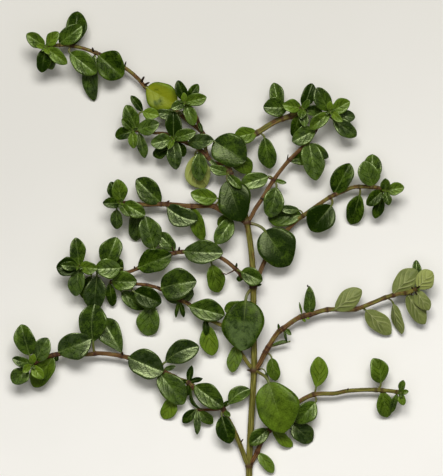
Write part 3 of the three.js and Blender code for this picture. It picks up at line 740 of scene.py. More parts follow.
class Skin:
    """A mesh in the making, in millimetres, with the marks that its finishes read."""

    # Added to a tube's first direction, so that an upright tube has one too.
    TINY = 1e-9

    def __init__(self, marks: Sequence[str]) -> None:
        """Starts an empty mesh.

        Args:
            marks: The names of the marks that every place carries.
        """
        self.places: list[np.ndarray] = []
        self.marks: dict[str, list[np.ndarray]] = {name: [] for name in marks}
        self.faces: list[tuple[int, ...]] = []
        self.finishes: list[int] = []
        self.count = 0

    def add_places(self, places: np.ndarray, marks: dict[str, np.ndarray]) -> int:
        """Adds places.

        Args:
            places: The places, one in each row.
            marks: For each mark, a row for each place or one row for all.

        Returns:
            The number of the first of them.
        """
        first = self.count
        self.places.append(places)
        for name, rows in self.marks.items():
            rows.append(np.broadcast_to(marks[name], places.shape))
        self.count += len(places)
        return first

    def add_face(self, corners: Sequence[int], finish: int) -> None:
        """Adds one face with its finish."""
        self.faces.append(tuple(corners))
        self.finishes.append(finish)

    def add_grid(self, first: int, shape: tuple[int, int], finish: int, flip: bool = False) -> None:
        """Adds the faces of a grid of places.

        Args:
            first: The number of its first place.
            shape: Its rows and columns.
            finish: The finish of its faces.
            flip: Whether they face the other way.
        """
        rows, columns = shape
        for row in range(rows - 1):
            for column in range(columns - 1):
                a = first + row * columns + column
                quad = (a, a + 1, a + columns + 1, a + columns)
                self.add_face(quad[::-1] if flip else quad, finish)

    def add_tube(
        self,
        centres: np.ndarray,
        radii: np.ndarray,
        section: np.ndarray,
        marks: dict[str, np.ndarray],
        finish: int = 0,
    ) -> None:
        """Adds a tube with closed ends.

        Args:
            centres: The centres of its rings.
            radii: The radius of each ring.
            section: The share of the radius at each side.
            marks: The marks of its places, ring by ring.
            finish: The finish of its faces, which is the mesh's first one if it isn't given.
        """
        sides = len(section)
        turns = round_turns(sides)
        tangents = np.gradient(centres, axis=0)
        across = unit(np.cross(UP, tangents[0]) + self.TINY)
        rings = []
        for centre, tangent, radius in zip(centres, tangents, radii):
            along = unit(tangent)
            across = unit(across - along * np.dot(across, along))
            above = np.cross(along, across)
            ring = np.outer(np.cos(turns), across) + np.outer(np.sin(turns), above)
            rings.append(centre + ring * (radius * section)[:, None])
        first = self.add_places(np.vstack(rings), marks)
        for ring in range(len(rings) - 1):
            for side in range(sides):
                a, b = (first + ring * sides + (side + k) % sides for k in (0, 1))
                self.add_face((a, b, b + sides, a + sides), finish)
        last = first + (len(rings) - 1) * sides
        self.add_face([first + side for side in reversed(range(sides))], finish)
        self.add_face([last + side for side in range(sides)], finish)

    def to_object(self, name: str, materials: Sequence[bpy.types.Material]) -> bpy.types.Object:
        """Makes the object, with nothing of it under the table.

        Args:
            name: Its name.
            materials: The materials that the faces' finishes number.

        Returns:
            The object, in the scene.
        """
        mesh = bpy.data.meshes.new(name)
        places = np.vstack(self.places)
        places[:, 2] = np.maximum(places[:, 2], TABLE_GAP)
        mesh.from_pydata((places * MM).tolist(), [], self.faces)
        for material in materials:
            mesh.materials.append(material)
        mesh.polygons.foreach_set("material_index", self.finishes)
        mesh.polygons.foreach_set("use_smooth", [True] * len(self.faces))
        for mark, rows in self.marks.items():
            layer = mesh.attributes.new(mark, "FLOAT_VECTOR", "POINT")
            layer.data.foreach_set("vector", np.vstack(rows).astype(np.float32).ravel())
        mesh.update()
        piece = bpy.data.objects.new(name, mesh)
        bpy.context.scene.collection.objects.link(piece)
        return piece


@dataclass(frozen=True)
class Stub:
    """A dry bit that stands off a stem: a leaf stalk's rest, a bud or a broken twig.

    Its dryness is how much of the dark dry colour it has, 0 to 1.
    """

    foot: Place
    tip: Place
    radius: float
    dryness: float

    SIDES = 7
    OUTLINE = (1.0, 0.95, 0.85, 0.8, 0.45)
    BROWN = 0.9
    RED = 0.3
    GRAIN_SCALE = 0.3

    def draw(self, skin: Skin) -> None:
        """Adds the bit to a mesh.

        Args:
            skin: The stem's mesh.
        """
        t = np.linspace(0, 1, len(self.OUTLINE))[:, None]
        centres = np.array(self.foot) * (1 - t) + np.array(self.tip) * t
        # With its place marks at zero, the whole bit takes the stems' full painted flank shade, an even
        # darkening.
        marks = {
            "stem_place": np.zeros(3),
            "stem_tone": np.array((self.BROWN, self.RED, self.dryness)),
            "stem_grain": np.repeat(centres, self.SIDES, axis=0) * self.GRAIN_SCALE,
        }
        radii = self.radius * np.array(self.OUTLINE)
        skin.add_tube(centres, radii, np.ones(self.SIDES), marks)


class Blade:
    """One leaf as a mesh: its stalk, both faces of its blade and the edge between them.

    Places on the blade are given by u, from 0 at its foot to 1 at its tip, and v, from minus 1 at
    its right rim to 1 at its left one.
    """

    # The finishes' numbers, and the grid of each face, whose columns crowd at the midrib.
    UPPER, UNDER, STALK = 0, 1, 2
    ROWS = 22
    COLUMNS = 14
    CROWDING = 1.15

    # The outline: its roundness, how it leans and ripples, and its least width at both ends. The
    # two shares are of the length, and TIP_HALF_WIDTH is a size.
    TIP_ROUNDNESS = 0.64
    LEAN = 0.09
    LEAN_WAVES = 0.8
    RIPPLE = 0.03
    RIPPLE_WAVES = 1.7
    NECK_SHARE = 0.12
    TIP_SHARE = 0.1
    TIP_HALF_WIDTH = 0.1

    # The relief: the fold, which FOLD_GAIN steepens, the curled rims, the waves, the thickness
    # and the midrib. Depths are shares of the width, or of the half width for the curl.
    # THIN_WIDTH and RIB_REACH are sizes.
    FOLD_GAIN = 1.3
    CREASE = 0.03
    CURL = -0.06
    CURL_POWER = 7
    WAVE = 0.022
    WAVES = 1.2
    THINNING = 0.45
    THIN_WIDTH = 3.0
    RIB = 0.03
    RIB_TAPER = 0.8
    RIB_REACH = 0.24

    # The side veins and the swelling between them. Wide leaves have fainter ones.
    PILLOW = 0.01
    PILLOW_GAIN = 0.0065
    FLAT_FOOT = 0.1
    FLAT_MIDDLE = 0.12
    VEINS = 2.6
    VEIN_GAIN = 0.16
    VEIN_SWING = 0.6
    STRENGTH = 1.7
    STRENGTH_LOSS = 0.14
    LEAST_STRENGTH = 0.35

    # The stalk.
    SESSILE_REACH = 1.7
    SESSILE_SHARE = 0.55
    STALK_SIDES = 8
    STALK_RINGS = 12
    STALK_RADIUS = 0.15
    STALK_GAIN = 0.022
    STALK_BOW = 0.5
    STALK_BOW_LIMIT = 2.0
    STALK_FLARE = (1.25, 1.15, 1.08, 1.03)
    STALK_TAPER = (0.85, 0.7, 0.5, 0.3)
    STALK_UNDER_BLADE = (0.03, 0.12)
    STALK_SINK = 0.08

    # How much chance changes the leaf's tone.
    BRIGHT_SWING = 0.3
    BLOOM_LEAST = 0.7
    BLOOM_SWING = 0.6

    def __init__(self, leaf: Leaf, root: np.ndarray, rng: np.random.Generator) -> None:
        """Sets the leaf's frame.

        Args:
            leaf: The leaf.
            root: The place in the stem that it springs from.
            rng: The source of its small chance differences.
        """
        self.leaf = leaf
        self.root = root
        self.foot = np.array(leaf.foot)
        stalk = root - self.foot
        if np.linalg.norm(stalk) < self.SESSILE_REACH:
            self.foot = self.foot + stalk * self.SESSILE_SHARE
        reach = np.array(leaf.tip) - self.foot
        self.length = float(np.linalg.norm(reach))
        self.axis = unit(reach)
        level = unit(np.cross(UP, self.axis))
        lift = np.cross(self.axis, level)
        roll = math.radians(leaf.roll)
        self.across = level * math.cos(roll) + lift * math.sin(roll)
        self.above = np.cross(self.axis, self.across)
        chance = rng.random(6)
        self.lean_turn = chance[0]
        self.side_turns = chance[1:3]
        self.vein_turn = chance[2]
        self.bright_chance, self.bloom_chance, vein_chance = chance[3:]
        self.stalk_radius = self.STALK_RADIUS + self.STALK_GAIN * leaf.width
        self.veins = self.VEINS + self.VEIN_GAIN * self.length + self.VEIN_SWING * vein_chance
        strength = self.STRENGTH - self.STRENGTH_LOSS * leaf.width
        self.vein_strength = float(np.clip(strength, self.LEAST_STRENGTH, 1.0))

    def waves(self, turns: np.ndarray, side: np.ndarray) -> np.ndarray:
        """Waves along the blade, which start at another place on each half of it."""
        return np.sin(math.tau * (turns + self.side_turns[(side > 0).astype(int)]))

    def half_width(self, u: np.ndarray, side: np.ndarray) -> np.ndarray:
        """Half the blade's width.

        Args:
            u: Places along the blade.
            side: Minus 1 on the right half and 1 on the left.

        Returns:
            The half width at each.
        """
        belly = self.leaf.belly
        foot_power = self.TIP_ROUNDNESS * belly / (1 - belly)
        outline = (u / belly) ** foot_power * ((1 - u) / (1 - belly)) ** self.TIP_ROUNDNESS
        lean = 1 + self.LEAN * side * np.sin(math.tau * (self.LEAN_WAVES * u + self.lean_turn))
        lean = lean + self.RIPPLE * self.waves(self.RIPPLE_WAVES * u, side)
        neck = self.stalk_radius * np.clip(1 - u / self.NECK_SHARE, 0, 1)
        tip = self.TIP_HALF_WIDTH * np.clip(1 - (1 - u) / self.TIP_SHARE, 0, 1)
        return np.maximum(self.leaf.width / 2 * outline * lean, np.maximum(neck, tip))

    def pillow(self, u: np.ndarray, v: np.ndarray) -> np.ndarray:
        """How far the blade swells up between its side veins and sinks at them.

        Args:
            u: Places along the blade.
            v: Places across it.

        Returns:
            The height at each, which is reversed on a leaf that is turned over.
        """
        away = np.abs(v)
        start = u - VEIN_SLANT * away**VEIN_CURVE
        swell = -0.5 * np.cos(math.tau * (self.veins * start + self.vein_turn))
        foot = np.clip(start / self.FLAT_FOOT, 0, 1)
        middle = np.clip(away / self.FLAT_MIDDLE, 0, 1)
        depth = self.vein_strength * (self.PILLOW + self.PILLOW_GAIN * self.leaf.width)
        pillow = depth * swell * foot * middle * (1 - away**3)
        return -pillow if self.leaf.turned else pillow

    def height(self, u: np.ndarray, v: np.ndarray, half: np.ndarray) -> np.ndarray:
        """How far the middle of the blade's thickness stands above its chord.

        Args:
            u: Places along the blade.
            v: Places across it.
            half: The half width at each.

        Returns:
            The height at each.
        """
        width = self.leaf.width
        rise = self.FOLD_GAIN * math.tan(math.radians(self.leaf.fold))
        crease = self.CREASE * width
        fold = rise * (np.sqrt((v * half) ** 2 + crease**2) - crease)
        curl = self.CURL * half * np.abs(v) ** self.CURL_POWER * math.copysign(1, rise)
        bow = BLADE_ARCH * self.length * arch(u)
        wave = self.WAVE * width * self.waves(self.WAVES * u, v) * v**2
        return fold + curl + bow + self.pillow(u, v) + wave

    def draw(self, skin: Skin) -> None:
        """Adds the leaf to a mesh.

        Args:
            skin: The mesh.
        """
        rows = 0.5 - 0.5 * np.cos(np.linspace(0, math.pi, self.ROWS + 1))
        ticks = np.linspace(-1, 1, self.COLUMNS + 1)
        u, v = np.meshgrid(rows, np.sign(ticks) * np.abs(ticks) ** self.CROWDING, indexing="ij")
        half = self.half_width(u, np.sign(v))
        height = self.height(u, v, half)
        width = self.leaf.width
        thick = BLADE_THICKNESS * (1 - self.THINNING * v**2) * min(1, width / self.THIN_WIDTH)
        rib = self.RIB * width * (1 - u) ** self.RIB_TAPER * bell(v * half, self.RIB_REACH)
        tops, unders = height + thick / 2, height - thick / 2
        if self.leaf.turned:
            tops = tops + rib
        else:
            unders = unders - rib
        aside = v * half + self.leaf.bend * self.length * arch(u)
        level = self.axis * (self.length * u)[..., None] + self.across * aside[..., None]
        marks = self.marks(np.stack((u, v, half), axis=-1).reshape(-1, 3))
        first = []
        for offset in (tops, unders):
            places = self.foot + level + self.above * offset[..., None]
            first.append(skin.add_places(places.reshape(-1, 3), marks))
        faces = (self.UNDER, self.UPPER) if self.leaf.turned else (self.UPPER, self.UNDER)
        skin.add_grid(first[0], u.shape, faces[0], flip=True)
        skin.add_grid(first[1], u.shape, faces[1])
        self.close_edge(skin, first, u.shape)
        self.draw_stalk(skin)

    def marks(self, places: np.ndarray) -> dict[str, np.ndarray]:
        """The marks of places on the leaf.

        Args:
            places: For each, its share along and across the blade and the half width there.

        Returns:
            The marks by name.
        """
        bright, bloom, yellow, pressed, sheen = self.leaf.tone.value
        bright = bright + (self.bright_chance - 0.5) * self.BRIGHT_SWING
        bloom = bloom * (self.BLOOM_LEAST + self.BLOOM_SWING * self.bloom_chance)
        return {
            "blade_place": places,
            "blade_tone": np.array((bright, bloom, yellow)),
            "blade_veins": np.array((self.veins, self.vein_turn, self.vein_strength)),
            "blade_wear": np.array((pressed, sheen, 0.0)),
        }

    def close_edge(self, skin: Skin, first: Sequence[int], shape: tuple[int, int]) -> None:
        """Joins the two faces of the blade round its outline.

        Args:
            skin: The mesh.
            first: The number of the first place of each face.
            shape: The rows and columns of each.
        """
        rows, columns = shape
        loop = [*range(columns)]
        loop += [row * columns + columns - 1 for row in range(1, rows)]
        loop += [(rows - 1) * columns + column for column in range(columns - 2, -1, -1)]
        loop += [row * columns for row in range(rows - 2, 0, -1)]
        for a, b in zip(loop, loop[1:] + loop[:1]):
            skin.add_face((first[0] + a, first[0] + b, first[1] + b, first[1] + a), self.STALK)

    def draw_stalk(self, skin: Skin) -> None:
        """Adds the leaf's stalk, from the stem to a little way under the blade.

        Args:
            skin: The mesh.
        """
        gap = float(np.linalg.norm(self.foot - self.root))
        bend = self.foot - self.axis * min(self.STALK_BOW * gap, self.STALK_BOW_LIMIT)
        t = np.linspace(0, 1, self.STALK_RINGS)[:, None]
        free = (1 - t) ** 2 * self.root + 2 * t * (1 - t) * bend + t**2 * self.foot
        start, end = self.STALK_UNDER_BLADE
        reach = np.linspace(start, end, len(self.STALK_TAPER))[:, None]
        rise = BLADE_ARCH * self.length * 4 * reach - self.STALK_SINK * reach / end
        under = self.foot + self.axis * self.length * reach + self.above * rise
        centres = np.vstack((free, under))
        radii = np.full(len(centres), self.stalk_radius)
        radii[: len(self.STALK_FLARE)] *= self.STALK_FLARE
        radii[-len(self.STALK_TAPER) :] *= self.STALK_TAPER
        along = np.concatenate((np.linspace(-1, 0, self.STALK_RINGS), reach[:, 0]))
        places = np.zeros((len(centres) * self.STALK_SIDES, 3))
        places[:, 0] = np.repeat(along, self.STALK_SIDES)
        skin.add_tube(centres, radii, np.ones(self.STALK_SIDES), self.marks(places), self.STALK)


@dataclass(frozen=True)
class Finishes:
    """The materials of the sprig."""

    upper: bpy.types.Material
    under: bpy.types.Material
    stalk: bpy.types.Material
    stem: bpy.types.Material

    @classmethod
    def build(cls) -> "Finishes":
        """Makes all four materials."""
        return cls(UPPER_FACE.build(), UNDER_FACE.build(), STALK.build(), STEM.build())


@dataclass(frozen=True)
class CrownPair:
    """One of the two smallest pairs of leaves, which stand up round a growing tip."""

    size: float
    foot_height: float
    tip_height: float
    tone: Tone

    FOOT_REACH = 0.25
    WIDTH_SHARE = 0.6
    BELLY = 0.45
    TURN_SWING = 0.3

    def leaf(self, top: np.ndarray, turn: float, reach: float, rng: np.random.Generator) -> Leaf:
        """One leaf of the pair.

        Args:
            top: The growing tip.
            turn: The leaf's direction in plan, in radians.
            reach: How far the leaves of the lower pair reach.
            rng: The source of its small chance differences.

        Returns:
            The leaf.
        """
        angle = turn + self.TURN_SWING * (rng.random() - 0.5)
        out = np.array((math.cos(angle), math.sin(angle), 0.0))
        foot = top + out * self.FOOT_REACH + UP * self.foot_height
        tip = top + out * (reach * self.size) + UP * self.tip_height
        width = self.WIDTH_SHARE * reach * self.size
        return Leaf(tuple(foot), tuple(tip), width, self.tone, belly=self.BELLY)


CROWN = (
    CrownPair(1.0, foot_height=-0.1, tip_height=0.25, tone=Tone.PLAIN),
    CrownPair(0.7, foot_height=0.0, tip_height=0.55, tone=Tone.FRESH),
)


@dataclass(frozen=True)
class Shoot:
    """One leafy stem: its route from the foot to the growing tip, and what it carries.

    Joints holds the y of each joint of the stem. Crown is how far the smallest leaves reach out
    from the growing tip, and is 0 where the shoot ends in a broken twig.
    """

    name: str
    route: tuple[Place, ...]
    leaves: tuple[Leaf, ...]
    buds: tuple[Leaf, ...] = ()
    stubs: tuple[Stub, ...] = ()
    radius: float = SHOOT_RADIUS
    bark: Bark = Bark.BROWN
    slot: str = "leaf_green"
    joints: tuple[float, ...] = ()
    crown: float = 1.35

    # The rings, and the section with its blunt ridges and small nicks.
    RING_GAP = 0.4
    SIDES = 16
    RIDGES = 4
    RIDGE_DEPTH = 0.1
    NICKS = 9
    NICK_DEPTH = 0.02
    NICK_TURN = 1.0

    # The radius: its taper, its swellings at leaves and joints, and its unevenness.
    TIP_SHARE = 0.8
    TAPER_POWER = 1.4
    LEAF_SWELLING = 0.22
    LEAF_SWELLING_REACH = 0.55
    JOINT_SWELLING = 0.2
    JOINT_SWELLING_REACH = 0.45
    UNEVENNESS = 0.05

    # The marks: the joints' dark bands and pale scars, and the grain.
    JOINT_MARK_REACH = 0.75
    SCAR_REACH = 0.35
    SCAR_SHARE = 0.15
    GRAIN_TO_A_MM = 0.07

    def section(self) -> np.ndarray:
        """The stem's outline with its four blunt ridges, as shares of its radius."""
        turns = round_turns(self.SIDES)
        ridges = 1 - self.RIDGE_DEPTH * np.cos(self.RIDGES * turns)
        return ridges + self.NICK_DEPTH * np.cos(self.NICKS * turns + self.NICK_TURN)

    def build_stem(self, finishes: Finishes, rng: np.random.Generator) -> bpy.types.Object:
        """Makes the stem, with the dry bits that stand off it.

        Args:
            finishes: The materials.
            rng: The source of its small chance differences.

        Returns:
            The piece.
        """
        route = Route(self.route)
        arcs = np.linspace(0, route.length, int(route.length / self.RING_GAP) + 2)
        springs = np.array([route.arc_of(leaf) for leaf in self.leaves + self.buds])
        gaps = np.abs(arcs[:, None] - springs[None, :]).min(axis=1)
        near = bell(gaps, self.LEAF_SWELLING_REACH)
        taper = 1 - (1 - self.TIP_SHARE) * (arcs / route.length) ** self.TAPER_POWER
        radii = self.radius * taper * (1 + self.LEAF_SWELLING * near)
        joints = [arcs - route.arc_at_height(height) for height in self.joints]
        for gap in joints:
            radii = radii * (1 + self.JOINT_SWELLING * bell(gap, self.JOINT_SWELLING_REACH))
        radii = radii * (1 + self.UNEVENNESS * (rng.random(len(arcs)) - 0.5))
        skin = Skin(("stem_place", "stem_tone", "stem_grain"))
        marks = self.stem_marks(arcs, near, joints)
        skin.add_tube(route.at(arcs), radii, self.section(), marks)
        for stub in self.stubs:
            stub.draw(skin)
        return skin.to_object(f"{self.name}_stem", [finishes.stem])

    def stem_marks(
        self, arcs: np.ndarray, near: np.ndarray, joints: Sequence[np.ndarray]
    ) -> dict[str, np.ndarray]:
        """The marks of the stem's places.

        Args:
            arcs: Each ring's length along the stem.
            near: How near each ring is to a leaf's root.
            joints: For each joint of the stem, each ring's distance from it.

        Returns:
            The marks by name.
        """
        turns = np.tile(round_turns(self.SIDES), len(arcs))
        foot, tip, red = self.bark.value
        joint, scar = near**3, np.zeros(len(arcs))
        for gap in joints:
            joint = np.maximum(joint, bell(gap, self.JOINT_MARK_REACH))
            scar = np.maximum(scar, bell(gap, self.SCAR_REACH))
        joint, scar, along = (np.repeat(row, self.SIDES) for row in (joint, scar, arcs))
        scar = scar * np.clip(np.sin(turns), 0, 1) ** 3 * self.SCAR_SHARE
        brown = foot + (tip - foot) * along / arcs[-1]
        red, dry = np.full_like(brown, red), np.zeros_like(brown)
        length = along * self.GRAIN_TO_A_MM
        # The last place number, how far each side faces up, sets the painted shade on the flanks.
        return {
            "stem_place": np.column_stack((joint, scar, np.sin(turns))),
            "stem_tone": np.column_stack((brown, red, dry)),
            "stem_grain": np.column_stack((np.cos(turns), np.sin(turns), length)),
        }

    def crown_leaves(self, rng: np.random.Generator) -> tuple[Leaf, ...]:
        """The two smallest pairs of leaves, which stand up round the growing tip.

        Args:
            rng: The source of their small chance differences.

        Returns:
            The leaves, or none where the shoot ends in a broken twig.
        """
        top = np.array(self.route[-1])
        turn = rng.random() * math.pi
        if self.crown == 0:
            return ()
        turns = [(pair, number * math.pi / 2) for number, pair in enumerate(CROWN)]
        return tuple(
            pair.leaf(top, turn + quarter + side, self.crown, rng)
            for pair, quarter in turns
            for side in (0, math.pi)
        )

    def build_leaves(self, finishes: Finishes, rng: np.random.Generator) -> bpy.types.Object:
        """Makes the shoot's leaves and buds.

        Args:
            finishes: The materials.
            rng: The source of their small chance differences.

        Returns:
            The piece.
        """
        route = Route(self.route)
        skin = Skin(("blade_place", "blade_tone", "blade_veins", "blade_wear"))
        for leaf in self.leaves + self.buds + self.crown_leaves(rng):
            root = route.at(np.array([route.arc_of(leaf)]))[0]
            Blade(leaf, root, rng).draw(skin)
        materials = [finishes.upper, finishes.under, finishes.stalk]
        return skin.to_object(f"{self.name}_leaves", materials)

    def build(self, finishes: Finishes, number: int) -> None:
        """Makes both pieces of the shoot and puts them in the place of its solid.

        Args:
            finishes: The materials.
            number: The shoot's place in the list, which seeds its chance differences.
        """
        rng = np.random.default_rng(SEED + number)
        stem = self.build_stem(finishes, rng)
        leaves = self.build_leaves(finishes, rng)
        for piece, slot in ((stem, "stem_bark"), (leaves, self.slot)):
            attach(piece, BODY)
            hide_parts(self.name)
            LOG.info("%s: %d faces", piece.name, len(piece.data.polygons))


@dataclass(frozen=True)
class Lamp:
    """A large soft lamp, beyond the growing tips or overhead."""

    name: str
    elevation: float
    size: tuple[float, float]
    power: float
    gloss: bool
    distance: float = 1500.0

    def build(self, centre: tuple[float, float]) -> None:
        """Sets the lamp.

        Args:
            centre: The place on the table that it points at.
        """
        data = bpy.data.lights.new(self.name, "AREA")
        data.shape = "RECTANGLE"
        data.size, data.size_y = (side * MM for side in self.size)
        data.energy = self.power
        lamp = bpy.data.objects.new(self.name, data)
        angle = math.radians(self.elevation)
        back = Vector((0.0, math.cos(angle), math.sin(angle)))
        lamp.location = (Vector((*centre, 0)) + back * self.distance) * MM
        lamp.rotation_euler = back.to_track_quat("Z", "Y").to_euler()
        lamp.visible_camera = False
        lamp.visible_glossy = self.gloss
        bpy.context.scene.collection.objects.link(lamp)


@dataclass(frozen=True)
class Studio:
    """The table, the lamps and the camera straight above."""

    centre: tuple[float, float] = (-0.4, 7.58)
    frame_height: float = 118.75
    focus_height: float = 3.5
    lens: float = 300.0
    sensor: float = 36.0
    nearest: float = 50.0
    farthest: float = 20000.0
    table_size: float = 5000.0
    sky_colour: Colour = (0.95, 0.98, 1.0, 1.0)
    sky: float = 0.06

    # The first lamp gives the leaves their sheen. The second is wide and doesn't show in gloss.
    lamps: tuple[Lamp, ...] = (
        Lamp("key", elevation=62.0, size=(900.0, 420.0), power=19.4, gloss=True),
        Lamp("fill", elevation=90.0, size=(2200.0, 2200.0), power=9.4, gloss=False),
    )

    def build_camera(self) -> None:
        """Sets the camera above the middle of the view, with a long lens."""
        data = bpy.data.cameras.new("camera")
        data.lens = self.lens
        data.sensor_width = self.sensor
        data.clip_start = self.nearest * MM
        data.clip_end = self.farthest * MM
        camera = bpy.data.objects.new("camera", data)
        height = self.frame_height / self.sensor * self.lens + self.focus_height
        camera.location = Vector((*self.centre, height)) * MM
        bpy.context.scene.collection.objects.link(camera)
        bpy.context.scene.camera = camera

    def build_table(self) -> None:
        """Makes the table's top."""
        reach = self.table_size / 2 * MM
        corners = [(-reach, -reach, 0), (reach, -reach, 0), (reach, reach, 0), (-reach, reach, 0)]
        mesh = bpy.data.meshes.new("table")
        mesh.from_pydata(corners, [], [(0, 1, 2, 3)])
        mesh.materials.append(TABLE.build())
        table = bpy.data.objects.new("table", mesh)
        bpy.context.scene.collection.objects.link(table)

    def build_sky(self) -> None:
        """Gives the room an even dim light, and shows colours plainly."""
        world = bpy.data.worlds.new("room")
        world.use_nodes = True
        light = world.node_tree.nodes["Background"]
        light.inputs["Color"].default_value = self.sky_colour
        light.inputs["Strength"].default_value = self.sky
        bpy.context.scene.world = world
        bpy.context.scene.view_settings.view_transform = "Standard"

    def build(self) -> None:
        """Sets up everything round the sprig."""
        self.build_camera()
        self.build_table()
        for lamp in self.lamps:
            lamp.build(self.centre)
        self.build_sky()


UPPER_FACE = BladeFinish(
    name="thyme_leaf_upper",
    deep=srgb(18, 35, 1),
    fresh=srgb(92, 120, 26),
    bloom=srgb(96, 112, 72),
    yellow=srgb(128, 134, 22),
    midrib=srgb(128, 146, 74),
    # A dark vein colour: painted shade in the sunken vein grooves.
    vein=srgb(22, 40, 4),
    rim=srgb(74, 94, 30),
    vein_width=0.2,
    vein_share=0.62,
    midrib_share=0.3,
    roughness=0.3,
    gloss=0.9,
    sheen=srgb(238, 255, 185),
    relief=0.1,
    vein_relief=-0.2,
)
UNDER_FACE = BladeFinish(
    name="thyme_leaf_under",
    deep=srgb(100, 110, 52),
    fresh=srgb(140, 148, 80),
    bloom=srgb(146, 154, 112),
    yellow=srgb(158, 164, 56),
    midrib=srgb(172, 176, 120),
    vein=srgb(170, 175, 116),
    rim=srgb(158, 164, 98),
    vein_width=0.34,
    vein_share=0.48,
    midrib_share=0.6,
    roughness=0.5,
    gloss=0.4,
    sheen=srgb(255, 255, 235),
    relief=0.18,
    vein_relief=1.0,
)
STALK = PetioleFinish(
    name="thyme_leaf_stalk",
    stalk=srgb(104, 92, 36),
    blade=srgb(92, 112, 36),
    shade=srgb(60, 72, 22),
    faded=srgb(150, 150, 50),
    roughness=0.42,
)
STEM = StemFinish(
    name="thyme_stem",
    olive=srgb(78, 76, 22),
    olive_pale=srgb(136, 130, 58),
    brown=srgb(76, 50, 24),
    brown_pale=srgb(132, 100, 56),
    red=srgb(112, 60, 38),
    # Dark joints, and the painted shade on the stems' flanks.
    joint=srgb(54, 27, 18),
    scar=srgb(150, 116, 88),
    dry=srgb(34, 26, 12),
    roughness=0.4,
    gloss=0.16,
)
TABLE = TableFinish(
    name="pale_board",
    # Painted light: darker at the back, lighter in front.
    back=srgb(220, 217, 209),
    front=srgb(251, 248, 241),
    cloud=srgb(205, 203, 190),
    roughness=0.85,
    gloss=0.1,
)
MAIN_STEM = Shoot(
    name="main_stem",
    radius=MAIN_STEM_RADIUS,
    bark=Bark.OLIVE,
    joints=(-49.5, -25.4, -4.7, 11.5),
    route=(
        (6.3, -64.5, LEVEL_AXIS), (6.5, -51.2, LEVEL_AXIS), (6.5, -49.5, 0.82), (7.0, -38.0, 1.2),
        (7.7, -25.5, 1.9), (7.6, -14.0, 2.6), (7.5, -4.6, 3.2), (7.1, 3.5, 3.8), (5.9, 11.5, 4.3),
        (4.4, 17.0, 4.4), (2.2, 22.5, 4.4), (1.0, 26.5, 4.3), (2.0, 29.0, 4.1), (4.0, 31.0, 4.0),
        (8.5, 33.8, 4.0), (13.6, 36.9, 4.2), (17.6, 38.2, 4.6), (19.5, 39.5, 5.6), (19.8, 39.7, 7.4),
    ),
    leaves=(
        # The five large leaves of the main stem's own nodes, from the lowest up.
        Leaf(
            (11.4, -28.4, 5.2), (15.3, -40.9, 5.6), 10.6, Tone.BLOTCHED, root=(7.7, -25.5),
            fold=FOLDED_FLAT, belly=0.47,
        ),
        Leaf(
            (5.6, -8.0, 4.8), (4.6, -20.5, 5.3), 10.3, Tone.PRESSED, root=(7.4, -4.8), fold=FOLDED_FLAT,
            belly=0.45,
        ),
        Leaf((5.6, -9.4, 3.4), (0.3, -10.4, 3.0), 4.0, Tone.FRESH, root=(7.4, -4.8)),
        Leaf(
            (10.4, 9.4, 4.6), (16.5, 0.7, 4.2), 9.6, Tone.DEEP, root=(6.0, 11.4), fold=FOLDED_FLAT,
            belly=0.44,
        ),
        Leaf(
            (1.2, 21.8, 5.5), (4.6, 11.7, 5.8), 8.4, Tone.DARK, root=(1.6, 24.4), fold=FOLDED_FLAT,
            belly=0.46,
        ),
        # The small leaves above them, up to where the stem turns right.
        Leaf((1.4, 23.2, 6.5), (4.5, 19.9, 7.0), 2.5),
        Leaf((0.7, 23.4, 4.8), (-3.4, 25.3, 5.0), 2.6, Tone.GREY),
        Leaf((2.8, 28.3, 3.6), (6.9, 23.8, 2.9), 4.5, Tone.FRESH),
        Leaf((8.2, 33.9, 4.7), (2.7, 32.7, 5.0), 4.2, Tone.FRESH),
        Leaf((10.3, 32.6, 3.8), (11.8, 24.9, 3.0), 4.6, root=(8.5, 33.8), belly=0.53),
        # The right-hand growing tip.
        Leaf((14.2, 39.3, 4.4), (12.6, 46.3, 3.4), 3.8),
        Leaf((16.0, 40.0, 4.8), (10.0, 40.2, 5.2), 4.9),
        Leaf((19.5, 38.2, 4.4), (17.5, 32.8, 3.0), 3.0, Tone.DARK),
        Leaf((20.8, 40.5, 5.2), (22.2, 46.1, 5.0), 3.5, Tone.DARK),
        Leaf((20.3, 38.4, 5.9), (20.3, 35.2, 6.8), 2.4, Tone.GREY),
        Leaf((20.8, 39.6, 5.4), (24.6, 39.0, 4.2), 2.8),
        Leaf((18.9, 40.2, 6.5), (14.8, 40.7, 7.2), 3.4, Tone.FRESH),
        Leaf((20.2, 40.0, 7.2), (21.4, 42.0, 8.4), 1.7),
        Leaf((19.8, 39.4, 7.2), (19.3, 37.2, 8.2), 2.2),
    ),
    buds=(
        Leaf((10.6, -25.9, 3.4), (11.2, -27.6, 4.0), 0.7, Tone.DARK, root=(7.7, -25.4)),
        Leaf((8.5, -4.2, 3.6), (9.6, -4.0, 4.2), 0.8, Tone.DARK),
    ),
    stubs=(
        Stub((7.7, -25.4, 2.2), (9.5, -25.1, 2.6), 0.32, 0.5),
        Stub((7.5, -25.5, 2.2), (5.9, -25.4, 2.4), 0.3, 0.6),
        Stub((6.6, -49.4, 1.2), (7.6, -48.4, 2.0), 0.3, 0.2),
        Stub((6.4, -49.6, 1.2), (5.5, -49.4, 1.5), 0.28, 0.5),
        Stub((11.0, -26.7, 4.4), (11.4, -27.8, 4.8), 0.2, 0.9),
        Stub((7.2, -4.6, 3.4), (8.6, -4.2, 3.8), 0.34, 0.4),
        Stub((5.8, 11.4, 4.6), (7.0, 11.0, 5.0), 0.34, 0.4),
    ),
)
